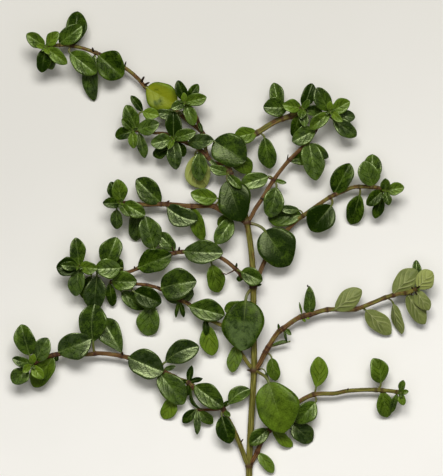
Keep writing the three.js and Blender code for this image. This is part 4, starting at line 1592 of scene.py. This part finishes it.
LOW_LEFT = Shoot(
    name="shoot_1_left",
    radius=0.64,
    bark=Bark.GREEN_FOOT,
    route=(
        (6.4, -49.6, 0.9), (5.6, -47.8, 1.2), (4.2, -44.0, 1.8), (2.5, -40.0, 2.3), (1.1, -37.4, 2.6),
        (-0.1, -35.0, 2.8), (-3.5, -32.7, 3.0), (-6.8, -30.3, 3.0), (-8.2, -28.7, 3.0),
        (-11.0, -27.7, 3.0), (-15.0, -25.7, 3.0), (-24.0, -22.2, 3.0), (-31.0, -21.2, 3.0),
        (-34.0, -21.5, 3.2), (-41.3, -21.4, 3.8), (-44.8, -22.4, 4.3), (-47.2, -23.6, 5.2),
        (-47.8, -24.0, 7.3),
    ),
    leaves=(
        Leaf((-0.3, -36.9, 3.2), (1.7, -43.7, 3.6), 4.7, Tone.DARK, root=(-0.1, -35.2)),
        Leaf(
            (1.3, -34.0, 2.4), (6.7, -30.2, 2.2), 4.0, Tone.GREY, root=(-0.1, -35.0), roll=-12.0,
            belly=0.56, bend=0.1,
        ),
        Leaf((-6.6, -28.9, 4.1), (0.0, -34.5, 4.6), 5.4),
        # The little upright shoot between the large pairs.
        Leaf((-8.5, -27.9, 3.6), (-7.8, -24.2, 4.2), 1.7, Tone.DARK),
        Leaf((-14.4, -23.4, 3.6), (-6.0, -19.4, 4.2), 5.8, Tone.DUSKY, belly=0.56, bend=0.1),
        Leaf((-16.2, -26.9, 3.2), (-9.7, -33.8, 2.8), 6.2, Tone.DUSKY),
        Leaf((-12.3, -32.4, 1.5), (-14.8, -37.7, TOUCHING), 4.0, Tone.LIME, root=(-12.2, -27.2)),
        Leaf((-23.6, -22.1, 4.1), (-14.8, -25.7, 4.6), 7.2, Tone.DUSKY),
        Leaf((-25.0, -20.6, 2.4), (-30.0, -12.7, 1.2), 6.0, Tone.GREY, belly=0.64),
        Leaf((-32.4, -18.3, 3.8), (-32.0, -8.9, 3.8), 7.2, belly=0.54, bend=0.06),
        Leaf((-40.7, -20.4, 4.3), (-32.8, -17.4, 5.2), 6.8, Tone.DUSKY, root=(-41.3, -21.4)),
        # The far growing tip.
        Leaf((-42.3, -22.5, 3.6), (-47.4, -29.6, 1.8), 5.2, Tone.FRESH),
        Leaf((-46.9, -22.6, 5.2), (-43.6, -17.3, 5.6), 4.6, Tone.GREY),
        Leaf((-48.6, -25.0, 5.2), (-52.5, -28.5, 4.8), 4.4, Tone.GREY),
        Leaf((-48.2, -21.6, 6.1), (-50.2, -13.9, 6.4), 5.2),
        Leaf((-47.4, -24.8, 6.1), (-44.7, -27.4, 6.6), 2.9, Tone.LIME),
        Leaf((-48.5, -23.8, 6.7), (-52.4, -22.3, 7.4), 2.6),
        Leaf((-48.2, -24.0, 7.2), (-49.7, -25.8, 8.4), 1.9, Tone.LIME),
        Leaf((-47.3, -23.4, 7.2), (-47.0, -21.2, 8.4), 1.9, Tone.LIME),
    ),
    buds=(
        Leaf((0.2, -35.6, 3.4), (1.8, -36.9, 4.2), 1.4),
        Leaf((-7.9, -27.8, 3.8), (-5.1, -27.4, 4.8), 1.4, Tone.DARK),
        Leaf((-8.8, -29.2, 2.6), (-8.9, -31.8, 2.0), 1.6, Tone.DARK),
        Leaf((-14.3, -24.4, 3.6), (-11.8, -24.4, 4.4), 1.3, Tone.DUSKY),
        Leaf((0.0, -34.3, 3.2), (1.2, -33.0, 3.8), 1.0, Tone.DARK),
        Leaf((-8.6, -28.2, 3.4), (-10.6, -28.0, 4.0), 1.0, Tone.DARK),
        Leaf(
            (-8.5, -30.6, 2.8), (-5.0, -35.4, 2.4), 1.3, Tone.DARK, root=(-7.6, -29.6), roll=45.0,
            bend=-0.22,
        ),
        Leaf((-41.6, -21.5, 4.2), (-41.5, -23.2, 3.6), 1.2, Tone.DARK),
    ),
    stubs=(
        Stub((-25.0, -21.8, 3.2), (-25.2, -20.8, 4.2), 0.32, 0.7),
        Stub((4.4, -43.6, 1.9), (5.0, -42.6, 2.6), 0.2, 0.4),
        Stub((-0.1, -35.0, 2.9), (1.2, -35.8, 3.4), 0.26, 0.8),
        Stub((-31.4, -20.9, 3.2), (-32.4, -21.8, 2.6), 0.24, 0.7),
    ),
)
LOW_LEFT_TWIG = Shoot(
    name="twig_1_left",
    radius=TWIG_RADIUS,
    bark=Bark.RED,
    crown=0.0,
    route=((-0.2, -34.9, 2.8), (-1.4, -35.2, 2.3), (-3.2, -35.3, 2.0), (-6.4, -35.3, 1.8)),
    leaves=(
        Leaf((-7.3, -35.3, 1.8), (-10.1, -38.6, 1.2), 2.6, Tone.DARK),
        Leaf((-6.5, -35.9, 2.3), (-6.5, -41.5, 2.5), 1.8, Tone.DUSKY),
        Leaf((-6.0, -35.9, 1.6), (-2.7, -38.9, 1.0), 2.8),
    ),
)
LOW_RIGHT = Shoot(
    name="shoot_1_right",
    radius=0.64,
    bark=Bark.GREEN_TIP,
    crown=1.2,
    route=(
        (6.6, -49.6, 0.9), (7.4, -48.0, 1.2), (8.5, -46.0, 1.4), (9.5, -43.5, 1.7), (11.7, -40.3, 2.1),
        (15.0, -37.0, 2.4), (18.7, -33.5, 2.6), (22.6, -31.5, 2.8), (28.0, -31.2, 2.8),
        (31.0, -30.6, 2.8), (37.0, -30.3, 2.9), (39.3, -30.4, 3.1), (42.0, -30.6, 3.6),
        (43.8, -30.9, 4.4), (44.2, -31.0, 5.8),
    ),
    leaves=(
        Leaf((9.5, -46.4, 1.5), (12.6, -51.1, 1.0), 3.0, Tone.PALE),
        Leaf((10.9, -39.9, 2.8), (6.6, -43.9, 3.0), 3.8),
        Leaf((13.2, -40.9, 1.6), (17.4, -44.6, TOUCHING), 2.9, Tone.LIME, root=(11.7, -40.3)),
        Leaf((17.2, -38.8, 1.4), (22.2, -43.4, TOUCHING), 5.1, Tone.DUSKY, root=(15.0, -37.0)),
        Leaf((23.0, -33.4, 3.0), (18.3, -38.6, 2.8), 5.0, root=(22.6, -31.5)),
        Leaf(
            (23.2, -29.6, 3.2), (23.8, -22.0, 3.8), 4.5, Tone.LIME, root=(22.6, -31.5), belly=0.56,
            bend=-0.08,
        ),
        Leaf((39.3, -28.6, 3.4), (37.4, -22.4, 4.0), 4.7, Tone.FRESH, root=(38.2, -30.3), bend=-0.1),
        Leaf((39.7, -31.1, 2.8), (41.0, -37.3, 0.9), 4.1, Tone.FRESH),
        # The far growing tip.
        Leaf((43.3, -31.7, 4.0), (41.9, -36.0, 3.2), 1.7),
        Leaf((44.4, -31.6, 4.8), (44.9, -34.1, 5.2), 2.0, Tone.FRESH),
        Leaf((44.4, -30.0, 4.8), (44.9, -27.8, 5.2), 1.8),
    ),
    buds=(
        Leaf((44.6, -30.8, 5.0), (46.2, -30.6, 5.2), 1.3, Tone.FRESH),
    ),
    stubs=(
        Stub((31.0, -30.5, 3.0), (31.2, -29.9, 3.8), 0.22, 0.5),
    ),
)
SECOND_LEFT = Shoot(
    name="shoot_2_left",
    radius=0.54,
    bark=Bark.GREEN_FOOT,
    crown=0.0,
    route=(
        (7.6, -25.4, 2.0), (6.4, -24.0, 2.2), (4.6, -21.3, 2.5), (2.6, -17.6, 2.9), (0.3, -14.7, 3.1),
        (-2.5, -13.2, 3.1), (-5.5, -11.5, 3.1), (-8.5, -9.0, 3.2), (-12.0, -7.3, 3.2), (-15.5, -5.2, 3.2),
        (-19.0, -4.2, 3.0), (-25.0, -3.7, 2.6), (-28.2, -3.3, 2.4),
    ),
    leaves=(
        Leaf((2.9, -19.6, 2.5), (2.3, -26.0, 1.6), 3.6, Tone.PALE, belly=0.46),
        Leaf((-4.1, -14.3, 2.6), (-2.7, -21.8, 1.4), 4.6, Tone.LIME, root=(-2.9, -13.0)),
        Leaf((-8.5, -9.9, 4.3), (0.4, -11.6, 4.3), 5.6, root=(-8.5, -9.0), belly=0.55),
        Leaf((-15.3, -4.8, 4.2), (-6.6, -3.1, 5.0), 7.8, root=(-15.5, -5.2), belly=0.44, bend=0.04),
        Leaf((-14.9, -6.0, 2.4), (-7.3, -6.4, 1.4), 6.0, Tone.DUSKY, root=(-15.5, -5.2)),
        Leaf((-22.2, -5.8, 3.6), (-15.4, -8.6, 3.6), 5.4, Tone.DARK, root=(-22.4, -3.9)),
        Leaf((-25.3, -5.9, 1.8), (-19.6, -10.1, 1.0), 4.2, root=(-24.2, -3.8)),
        Leaf(
            (-17.9, -8.8, 2.2), (-19.0, -16.9, TOUCHING), 5.8, Tone.GREY, root=(-19.0, -4.2), belly=0.55,
        ),
        Leaf((-27.8, -3.3, 3.4), (-21.5, -3.2, 4.0), 5.0),
        Leaf((-28.7, -4.2, 2.2), (-27.6, -9.5, 1.0), 2.6, Tone.DARK, root=(-28.0, -3.3)),
    ),
    buds=(
        Leaf((-4.8, -13.6, 3.0), (-4.2, -16.7, 3.1), 1.8, Tone.DARK),
        Leaf((-10.9, -8.8, 2.8), (-9.8, -12.2, 2.2), 1.3, Tone.DARK),
        Leaf((-11.5, -8.8, 2.8), (-11.8, -12.3, 2.2), 1.0, Tone.DARK),
    ),
    stubs=(
        Stub((-8.4, -8.8, 3.4), (-9.4, -8.0, 4.2), 0.28, 0.5),
        Stub((-15.4, -5.3, 3.3), (-16.4, -4.4, 4.0), 0.28, 0.6),
    ),
)
SECOND_RIGHT = Shoot(
    name="shoot_2_right",
    radius=0.68,
    bark=Bark.MIXED,
    slot="leaf_underside",
    crown=1.2,
    route=(
        (7.8, -25.4, 2.0), (9.0, -24.0, 2.3), (10.4, -21.2, 2.6), (13.7, -16.0, 2.9), (15.0, -15.0, 3.0),
        (18.9, -12.3, 3.2), (22.0, -11.4, 3.3), (26.0, -10.3, 3.4), (32.8, -10.2, 3.4), (37.0, -8.7, 3.6),
        (40.4, -7.3, 3.8), (43.5, -6.4, 4.2), (46.0, -6.0, 4.8), (48.3, -5.0, 5.6),
    ),
    leaves=(
        Leaf((12.1, -22.4, 2.7), (13.1, -28.1, 2.6), 3.4, Tone.FRESH, root=(10.6, -20.9)),
        Leaf((16.0, -15.2, 3.2), (17.0, -16.6, 3.6), 1.2, root=(15.0, -15.0)),
        Leaf((21.4, -10.6, 3.8), (21.5, -4.4, 4.6), 3.0, Tone.DUSKY, belly=0.34),
        Leaf(
            (28.0, -10.2, 4.1), (34.5, -5.3, 4.6), 4.9, root=(26.0, -9.9), fold=TURNED_FOLD, turned=True,
        ),
        Leaf(
            (35.7, -10.5, 3.0), (41.9, -16.5, 1.2), 4.8, root=(33.0, -9.9), fold=TURNED_FOLD, turned=True,
        ),
        Leaf(
            (42.5, -8.9, 3.0), (44.7, -16.4, 1.6), 3.3, root=(40.4, -7.3), fold=TURNED_FOLD, roll=38.0,
            turned=True,
        ),
        Leaf((42.3, -6.1, 4.6), (48.3, -0.3, 5.4), 5.3, fold=TURNED_FOLD, turned=True),
        # The far growing tip, turned over so that the undersides show.
        Leaf(
            (46.4, -7.1, 4.2), (50.4, -13.9, 2.8), 4.4, root=(45.6, -6.1), fold=TURNED_FOLD, turned=True,
        ),
        Leaf((48.3, -3.0, 3.9), (48.2, 2.1, 3.2), 2.3, Tone.DUSKY),
        Leaf((48.3, -6.1, 5.2), (51.3, -10.4, 5.0), 3.6, fold=TURNED_FOLD, turned=True),
        Leaf((48.5, -4.7, 5.9), (52.0, -0.7, 6.4), 4.8, Tone.LIME, fold=TURNED_FOLD, turned=True),
    ),
    buds=(
        Leaf((14.0, -15.4, 3.2), (13.7, -13.8, 3.8), 0.7, Tone.DARK),
        Leaf((15.4, -15.8, 3.2), (15.9, -18.4, 3.4), 0.7, Tone.DARK),
        Leaf((16.4, -18.3, 3.0), (12.2, -19.3, 2.8), 1.2, Tone.GREY, root=(11.4, -19.8), roll=55.0),
        Leaf((19.7, -10.9, 3.8), (19.0, -8.4, 4.4), 0.6, Tone.FRESH, root=(19.6, -12.0)),
        Leaf((19.8, -12.3, 3.4), (20.5, -13.4, 3.2), 0.8, Tone.LIME),
        Leaf((20.4, -12.0, 3.5), (21.6, -12.6, 3.6), 0.8, Tone.LIME),
    ),
    stubs=(
        Stub((47.4, -5.4, 5.0), (46.9, -4.6, 6.2), 0.3, 0.9),
        Stub((47.6, -5.4, 5.2), (48.2, -6.4, 6.0), 0.3, 0.9),
        Stub((46.8, -5.8, 4.9), (47.0, -6.7, 5.8), 0.28, 0.9),
        Stub((48.2, -5.0, 5.5), (48.9, -4.4, 6.6), 0.26, 0.9),
        Stub((21.2, -4.6, 4.6), (21.0, -4.1, 4.8), 0.24, 1.0),
    ),
)
THIRD_LEFT = Shoot(
    name="shoot_3_left",
    radius=0.54,
    route=(
        (7.4, -4.5, 3.2), (5.2, -2.4, 3.4), (3.2, -0.2, 3.6), (-0.5, 2.6, 3.5), (-5.0, 4.0, 3.2),
        (-10.2, 4.1, 3.1), (-13.0, 3.6, 3.1), (-17.5, 1.9, 3.1), (-21.7, -0.2, 3.3), (-24.3, -1.0, 3.3),
        (-28.0, -0.3, 3.2), (-32.0, 0.2, 3.8), (-35.0, 0.4, 4.7), (-36.0, 0.4, 6.0), (-36.1, 0.4, 7.4),
    ),
    leaves=(
        Leaf((4.5, -0.8, 4.9), (9.8, -3.1, 5.4), 4.4, root=(3.3, -0.3)),
        Leaf((-2.8, 0.9, 3.0), (-1.1, -6.0, 1.4), 4.6, Tone.FRESH, root=(-3.0, 3.5)),
        Leaf((-9.2, 4.3, 4.3), (0.0, 3.9, 5.0), 6.0, Tone.DUSKY, root=(-10.2, 4.1)),
        Leaf((-12.2, 5.4, 3.4), (-16.2, 8.8, 3.0), 3.8, Tone.DUSKY),
        Leaf((-17.3, 4.9, 4.0), (-19.3, 13.0, 4.4), 5.7, Tone.DUSKY, root=(-13.0, 3.6)),
        Leaf((-21.2, 0.2, 4.3), (-12.9, 3.6, 4.8), 6.1, Tone.DARK),
        Leaf((-25.2, -1.4, 2.4), (-27.8, 2.5, 1.8), 3.4, Tone.DARK),
        Leaf((-25.5, 0.1, 4.9), (-31.9, -0.1, 5.3), 5.0, Tone.GREY),
        Leaf((-29.2, 1.4, 3.6), (-26.6, 7.8, 3.2), 5.6),
        Leaf((-31.5, -1.9, 3.4), (-32.3, -10.5, 1.6), 5.6, Tone.DUSKY, root=(-31.6, 0.1)),
        Leaf((-33.0, -2.0, 2.2), (-35.0, -7.5, TOUCHING), 3.4, Tone.DARK, root=(-33.0, 0.3)),
        # The far growing tip.
        Leaf((-35.9, 1.3, 5.2), (-36.7, 7.7, 5.8), 4.1),
        Leaf((-36.2, -0.5, 5.2), (-36.8, -6.9, 5.0), 4.1, Tone.GREY),
        Leaf((-36.2, 0.3, 6.1), (-41.5, 0.3, 6.2), 4.8, Tone.DARK),
        Leaf((-35.4, 0.4, 6.2), (-31.2, 0.0, 7.0), 3.3, Tone.FRESH),
        Leaf((-36.4, 0.5, 7.2), (-40.3, 0.9, 8.2), 2.4),
    ),
    buds=(
        Leaf((3.4, 0.2, 3.8), (3.4, 1.4, 4.6), 0.6, Tone.DARK),
        Leaf((4.5, -1.5, 3.4), (3.9, -3.3, 2.8), 1.6, Tone.DARK),
    ),
    stubs=(
        Stub((2.9, -0.4, 3.8), (0.8, -1.5, 4.0), 0.18, 0.0),
        Stub((0.8, -1.5, 4.0), (-0.4, -1.1, 4.2), 0.15, 0.0),
        Stub((-11.0, 4.5, 3.3), (-10.9, 5.3, 4.2), 0.3, 0.9),
        Stub((-22.0, -0.3, 3.4), (-22.1, 0.5, 4.2), 0.26, 0.8),
        Stub((-12.4, 4.3, 3.3), (-12.8, 5.4, 3.8), 0.26, 0.7),
    ),
)
THIRD_RIGHT = Shoot(
    name="shoot_3_right",
    radius=0.6,
    bark=Bark.MIXED,
    route=(
        (7.6, -4.4, 3.2), (8.7, -2.4, 3.0), (9.4, -0.4, 2.7), (10.4, 1.8, 2.4), (12.5, 5.0, 2.3),
        (15.5, 9.0, 2.4), (18.0, 11.6, 2.7), (20.6, 13.6, 3.0), (26.7, 17.8, 3.3), (30.1, 19.3, 3.4),
        (32.3, 20.2, 3.4), (35.0, 20.4, 3.8), (38.4, 20.1, 4.6), (40.1, 19.4, 5.6), (40.3, 19.3, 7.2),
    ),
    leaves=(
        Leaf((19.4, 13.7, 2.8), (11.2, 12.5, 1.4), 5.0),
        Leaf((18.9, 14.5, 3.6), (13.9, 15.0, 4.0), 2.2, Tone.GREY),
        Leaf((27.0, 15.7, 3.2), (21.9, 9.4, 2.8), 7.0, Tone.DARK, root=(26.7, 17.8)),
        Leaf((27.6, 19.1, 3.6), (31.6, 26.2, 4.0), 5.2, Tone.DARK),
        Leaf((34.1, 18.3, 3.0), (32.0, 11.0, TOUCHING), 4.5, Tone.DARK),
        Leaf((36.8, 20.9, 3.8), (37.3, 28.5, 2.6), 5.0),
        Leaf((37.3, 20.9, 4.9), (35.0, 26.7, 5.8), 5.2, Tone.GREY),
        # The far growing tip.
        Leaf((39.6, 17.6, 4.4), (37.9, 12.5, 3.0), 2.8, Tone.DARK, root=(38.6, 19.9)),
        Leaf((39.6, 19.0, 5.4), (35.7, 15.8, 5.6), 3.3, Tone.DARK),
        Leaf((41.0, 19.5, 5.5), (45.1, 20.2, 5.8), 3.2, Tone.FRESH),
        Leaf((40.3, 19.8, 6.7), (40.3, 22.4, 7.6), 2.5),
        Leaf((40.5, 18.8, 6.6), (41.2, 15.7, 7.2), 2.2),
    ),
)
FOURTH_LEFT = Shoot(
    name="shoot_4_left",
    radius=0.66,
    route=(
        (5.8, 11.6, 4.3), (4.2, 12.2, 3.9), (2.4, 12.9, 3.6), (-0.7, 14.5, 3.4), (-2.4, 15.5, 3.3),
        (-7.5, 15.5, 3.3), (-14.0, 16.0, 3.6), (-20.0, 15.9, 4.2), (-23.8, 16.2, 4.8), (-25.3, 16.2, 5.8),
        (-25.5, 16.2, 7.4),
    ),
    leaves=(
        Leaf((1.9, 12.7, 2.8), (-1.4, 10.8, 2.2), 3.0, Tone.FRESH, root=(2.4, 12.9)),
        Leaf((2.2, 11.4, 4.2), (-1.9, 6.1, 4.6), 4.4, Tone.GREY, root=(2.4, 12.9)),
        Leaf(
            (-1.5, 17.5, 3.9), (-8.1, 18.8, 4.4), 4.1, Tone.FRESH, root=(-2.2, 15.4), belly=0.48,
            bend=0.06,
        ),
        Leaf((-7.8, 15.1, 2.6), (-5.0, 7.0, 0.9), 3.6, Tone.FRESH),
        Leaf((-14.0, 14.7, 3.8), (-6.3, 12.0, 4.2), 5.3, Tone.DUSKY, bend=-0.1),
        Leaf((-15.6, 16.9, 4.0), (-21.6, 22.3, 3.8), 5.6),
        Leaf((-21.5, 15.2, 3.2), (-21.8, 6.8, TOUCHING), 4.2, Tone.DUSKY),
        # The far growing tip.
        Leaf((-26.4, 17.0, 4.8), (-28.0, 21.6, 4.6), 3.0, Tone.DARK, root=(-23.5, 16.2)),
        Leaf((-26.5, 14.7, 5.0), (-26.5, 9.8, 4.2), 3.1, Tone.DUSKY, root=(-24.4, 16.2)),
        Leaf((-25.6, 16.9, 5.4), (-26.3, 22.2, 6.2), 4.0, Tone.FRESH),
        Leaf((-24.5, 16.3, 5.8), (-19.4, 13.2, 6.2), 4.0),
        Leaf((-26.0, 16.2, 6.3), (-29.9, 16.3, 7.0), 2.8, Tone.DARK),
        Leaf((-25.3, 15.8, 7.1), (-23.2, 13.0, 8.0), 2.4),
    ),
    stubs=(
        Stub((-14.2, 16.2, 3.8), (-13.4, 16.9, 4.3), 0.3, 0.4),
    ),
)
FOURTH_RIGHT = Shoot(
    name="shoot_4_right",
    radius=0.56,
    route=(
        (6.0, 11.5, 4.3), (7.0, 12.9, 4.3), (8.0, 14.8, 4.2), (9.8, 17.5, 4.0), (12.5, 21.9, 3.9),
        (16.3, 26.8, 3.9), (19.8, 30.2, 3.9), (21.3, 31.7, 4.0), (24.0, 36.0, 4.4), (25.9, 38.2, 5.2),
        (26.5, 38.9, 6.1), (26.6, 39.0, 7.4),
    ),
    leaves=(
        Leaf((11.2, 22.9, 4.4), (4.3, 20.7, 4.6), 4.3, Tone.GREY),
        Leaf((13.2, 21.7, 4.0), (15.8, 21.3, 4.4), 1.2),
        Leaf((13.3, 20.2, 4.1), (11.6, 12.7, 3.8), 5.2, Tone.GREY, root=(12.5, 21.9)),
        Leaf((16.5, 26.9, 3.6), (21.5, 28.0, 2.4), 3.4, Tone.DARK),
        Leaf((22.0, 30.6, 4.6), (23.2, 21.9, 4.4), 5.6, Tone.GREY, belly=0.44),
        Leaf((21.2, 30.6, 3.2), (26.3, 27.7, 2.6), 3.0, Tone.DUSKY),
        Leaf((22.8, 34.5, 5.0), (17.2, 31.6, 4.9), 4.5, Tone.GREY),
        # The far growing tip.
        Leaf((27.6, 38.3, 4.8), (32.9, 37.6, 4.2), 3.5, Tone.DUSKY, root=(25.4, 37.8)),
        Leaf((27.4, 37.1, 5.2), (33.2, 32.9, 4.4), 4.0, Tone.GREY),
        Leaf((26.1, 39.5, 5.8), (23.3, 45.0, 6.8), 4.3),
        Leaf((27.4, 39.1, 6.5), (31.5, 41.6, 6.6), 3.7, Tone.FRESH),
        Leaf((26.1, 38.4, 6.4), (21.6, 34.7, 6.6), 3.4, Tone.FRESH),
        Leaf((26.6, 39.3, 6.9), (26.6, 41.6, 8.2), 1.8, Tone.LIME),
        Leaf((27.0, 38.7, 6.9), (29.6, 36.4, 8.2), 1.9, Tone.LIME),
    ),
    stubs=(
        Stub((16.0, 27.0, 4.1), (16.2, 28.4, 4.8), 0.17, 1.0),
        Stub((9.3, 17.5, 4.3), (10.3, 17.2, 4.6), 0.3, 0.9),
        Stub((12.2, 22.2, 4.2), (11.2, 22.6, 4.6), 0.26, 0.2),
    ),
)
TOP_LEFT = Shoot(
    name="shoot_5_left",
    radius=0.54,
    route=(
        (1.2, 26.2, 4.3), (-0.6, 26.1, 4.2), (-2.6, 26.4, 4.1), (-3.8, 27.7, 4.1), (-5.6, 29.5, 4.1),
        (-8.5, 31.0, 4.3), (-11.0, 31.9, 4.7), (-12.3, 32.2, 5.6), (-12.5, 32.2, 7.3),
    ),
    leaves=(
        # Its pale tone is partly painted light, against the shade of the leaf lying over it.
        Leaf(
            (-6.9, 28.3, 2.4), (-4.8, 20.1, TOUCHING), 6.4, Tone.WAN, root=(-5.6, 29.5), bend=-0.1,
            turned=True,
        ),
        Leaf((-6.5, 28.2, 3.8), (-5.8, 21.8, 3.2), 4.0, Tone.GREY, root=(-5.6, 29.5)),
        Leaf(
            (-2.3, 31.7, 5.2), (5.7, 26.8, 5.7), 8.4, Tone.DEEP, root=(-4.6, 28.6), fold=FOLDED_FLAT,
            belly=0.46,
        ),
        Leaf((-8.5, 31.7, 5.3), (-2.3, 31.9, 6.8), 3.8, Tone.DUSKY),
        # The far growing tip.
        Leaf((-12.2, 31.0, 4.4), (-9.7, 27.9, 3.6), 2.6, Tone.DARK, root=(-10.8, 31.9)),
        Leaf((-13.3, 30.0, 4.4), (-17.5, 28.2, 3.2), 3.1, Tone.DARK, root=(-11.2, 32.0)),
        Leaf((-12.4, 33.0, 5.4), (-12.4, 39.1, 5.6), 4.2, Tone.DARK),
        Leaf((-12.5, 31.5, 5.4), (-11.7, 24.6, 5.8), 3.8, Tone.DUSKY),
        Leaf((-11.9, 32.4, 6.4), (-6.8, 34.0, 7.2), 3.2),
        Leaf((-13.2, 32.1, 6.3), (-18.0, 31.0, 6.8), 3.8, Tone.GREY),
        Leaf((-12.7, 31.9, 7.1), (-13.6, 29.6, 8.2), 1.5, Tone.FRESH),
    ),
    buds=(
        Leaf((-3.7, 27.0, 4.6), (-0.8, 24.6, 4.6), 1.2, Tone.GREY, root=(-3.8, 27.6)),
    ),
)
FAR_LEFT_TWIG = Shoot(
    name="twig_5_left_far",
    radius=0.42,
    route=(
        (-8.4, 31.0, 4.2), (-9.6, 31.9, 3.2), (-11.5, 32.9, 2.7), (-14.5, 33.7, 2.8), (-17.5, 33.8, 3.1),
        (-19.8, 34.2, 3.9), (-21.6, 34.3, 4.6), (-22.3, 34.3, 5.6), (-22.4, 34.3, 7.1),
    ),
    leaves=(
        Leaf((-20.1, 39.2, 3.6), (-23.0, 43.1, 3.8), 2.1, Tone.DARK, root=(-18.4, 33.9)),
        Leaf((-20.0, 38.9, 5.4), (-16.0, 38.1, 5.8), 3.0, Tone.LIME, root=(-20.6, 34.2)),
        Leaf((-21.6, 35.6, 4.6), (-24.2, 40.7, 5.0), 4.0),
        Leaf((-21.1, 33.0, 3.8), (-19.5, 27.5, 3.8), 2.6, Tone.GREY),
        Leaf((-20.9, 34.8, 5.4), (-15.9, 36.1, 6.3), 4.1, Tone.GREY),
        Leaf((-23.1, 33.8, 5.4), (-26.9, 33.0, 4.8), 3.2, Tone.DARK),
        Leaf((-23.0, 34.9, 6.2), (-25.2, 37.2, 6.2), 2.0, Tone.DARK),
        Leaf((-22.7, 33.7, 6.8), (-22.2, 29.8, 7.4), 2.4, Tone.FRESH),
    ),
)
UPPER_LEFT_TWIG = Shoot(
    name="twig_5_left_up",
    route=(
        (-3.9, 27.8, 4.1), (-4.3, 29.6, 3.7), (-4.8, 31.5, 3.5), (-4.8, 33.5, 3.7), (-6.1, 35.4, 4.2),
        (-6.4, 37.4, 4.7), (-8.2, 40.0, 5.0), (-9.4, 41.2, 5.9), (-9.5, 41.3, 7.4),
    ),
    leaves=(
        Leaf((-11.6, 38.9, 3.0), (-15.4, 38.3, 2.5), 1.7, Tone.GREY, root=(-7.8, 39.6)),
        Leaf((-8.9, 42.2, 4.9), (-6.2, 45.9, 4.6), 2.7, Tone.DARK),
        Leaf((-9.4, 42.0, 5.7), (-11.3, 46.8, 6.2), 3.0, Tone.DARK),
        Leaf((-9.3, 40.6, 5.8), (-7.2, 35.6, 6.0), 3.2, Tone.GREY),
        Leaf((-9.0, 41.3, 6.5), (-4.1, 42.6, 6.8), 3.3, Tone.FRESH),
        Leaf((-9.8, 41.0, 6.7), (-12.9, 39.7, 7.4), 2.5, Tone.GREY),
        Leaf((-9.5, 41.7, 7.2), (-9.8, 43.7, 8.3), 1.6, Tone.LIME),
    ),
    buds=(
        Leaf((-12.2, 38.3, 4.2), (-16.8, 38.8, 4.0), 2.6, Tone.DUSKY, root=(-10.0, 38.6)),
        Leaf((-6.0, 36.6, 5.0), (-5.1, 33.8, 5.4), 1.1, Tone.DARK, root=(-6.3, 36.4)),
    ),
    stubs=(
        Stub((-6.3, 36.2, 4.6), (-6.1, 37.4, 5.4), 0.22, 0.9),
    ),
)
TOP_LEFT_TWIG = Shoot(
    name="twig_5_left_top",
    radius=0.55,
    bark=Bark.MIXED,
    route=(
        (-4.8, 33.4, 3.7), (-6.2, 34.8, 2.9), (-9.0, 37.0, 2.3), (-13.0, 40.4, 2.0), (-19.3, 45.2, 2.3),
        (-21.1, 47.2, 2.6), (-24.3, 49.9, 3.0), (-31.8, 53.8, 3.2), (-37.0, 55.4, 3.6),
        (-40.0, 55.7, 4.0), (-42.6, 55.5, 4.6), (-44.1, 55.1, 5.6), (-44.2, 55.0, 7.4),
    ),
    leaves=(
        Leaf(
            (-18.7, 44.8, 3.4), (-11.6, 40.9, 3.4), 7.3, Tone.YELLOW, root=(-19.2, 45.4),
            fold=FOLDED_FLAT,
        ),
        Leaf((-31.2, 52.8, 3.8), (-25.0, 47.8, 3.8), 7.2, Tone.DARK),
        Leaf((-32.3, 52.4, 2.6), (-32.3, 41.9, TOUCHING), 4.0, Tone.DUSKY, root=(-31.8, 53.8), bend=-0.1),
        Leaf((-38.1, 53.7, 4.0), (-31.6, 48.6, 4.6), 5.2),
        # The far growing tip.
        Leaf((-37.2, 56.3, 3.2), (-36.3, 64.2, 1.6), 5.2, Tone.DARK),
        Leaf((-40.7, 56.5, 4.6), (-35.2, 60.5, 5.0), 4.6),
        Leaf((-44.4, 54.4, 5.4), (-45.2, 48.8, 5.2), 3.7, Tone.DARK),
        Leaf((-43.8, 55.8, 5.5), (-41.0, 58.9, 6.0), 3.0, Tone.FRESH),
        Leaf((-44.7, 55.7, 6.4), (-48.9, 58.3, 6.8), 3.5, Tone.FRESH),
        Leaf((-43.6, 54.5, 6.3), (-38.8, 50.9, 6.6), 3.3, Tone.FRESH),
        Leaf((-44.5, 55.1, 7.2), (-46.4, 55.3, 8.3), 1.5, Tone.LIME),
        Leaf((-43.9, 54.7, 7.2), (-43.2, 53.2, 8.3), 1.5, Tone.LIME),
    ),
    buds=(
        Leaf((-43.9, 53.6, 4.6), (-42.6, 49.6, 3.8), 2.8, Tone.GREY),
    ),
    stubs=(
        Stub((-32.3, 54.0, 3.4), (-32.6, 55.0, 4.2), 0.34, 1.0),
        Stub((-24.6, 50.2, 3.2), (-24.2, 51.6, 3.8), 0.22, 1.0),
        Stub((-20.4, 46.6, 2.8), (-19.7, 47.8, 3.8), 0.36, 0.8),
        Stub((-19.6, 45.8, 2.6), (-18.4, 46.4, 3.6), 0.32, 0.8),
        Stub((-38.0, 55.5, 3.8), (-37.4, 56.6, 4.4), 0.26, 0.2),
    ),
)
SHOOTS = (
    MAIN_STEM,
    LOW_LEFT,
    LOW_LEFT_TWIG,
    LOW_RIGHT,
    SECOND_LEFT,
    SECOND_RIGHT,
    THIRD_LEFT,
    THIRD_RIGHT,
    FOURTH_LEFT,
    FOURTH_RIGHT,
    TOP_LEFT,
    FAR_LEFT_TWIG,
    UPPER_LEFT_TWIG,
    TOP_LEFT_TWIG,
)


def main() -> None:
    """Builds the sprig, shoot by shoot, and the studio round it."""
    logging.basicConfig(level=logging.INFO, format="%(name)s %(message)s")
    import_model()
    finishes = Finishes.build()
    for number, shoot in enumerate(SHOOTS):
        shoot.build(finishes, number)
    Studio().build()


if __name__ == "__main__":
    main()
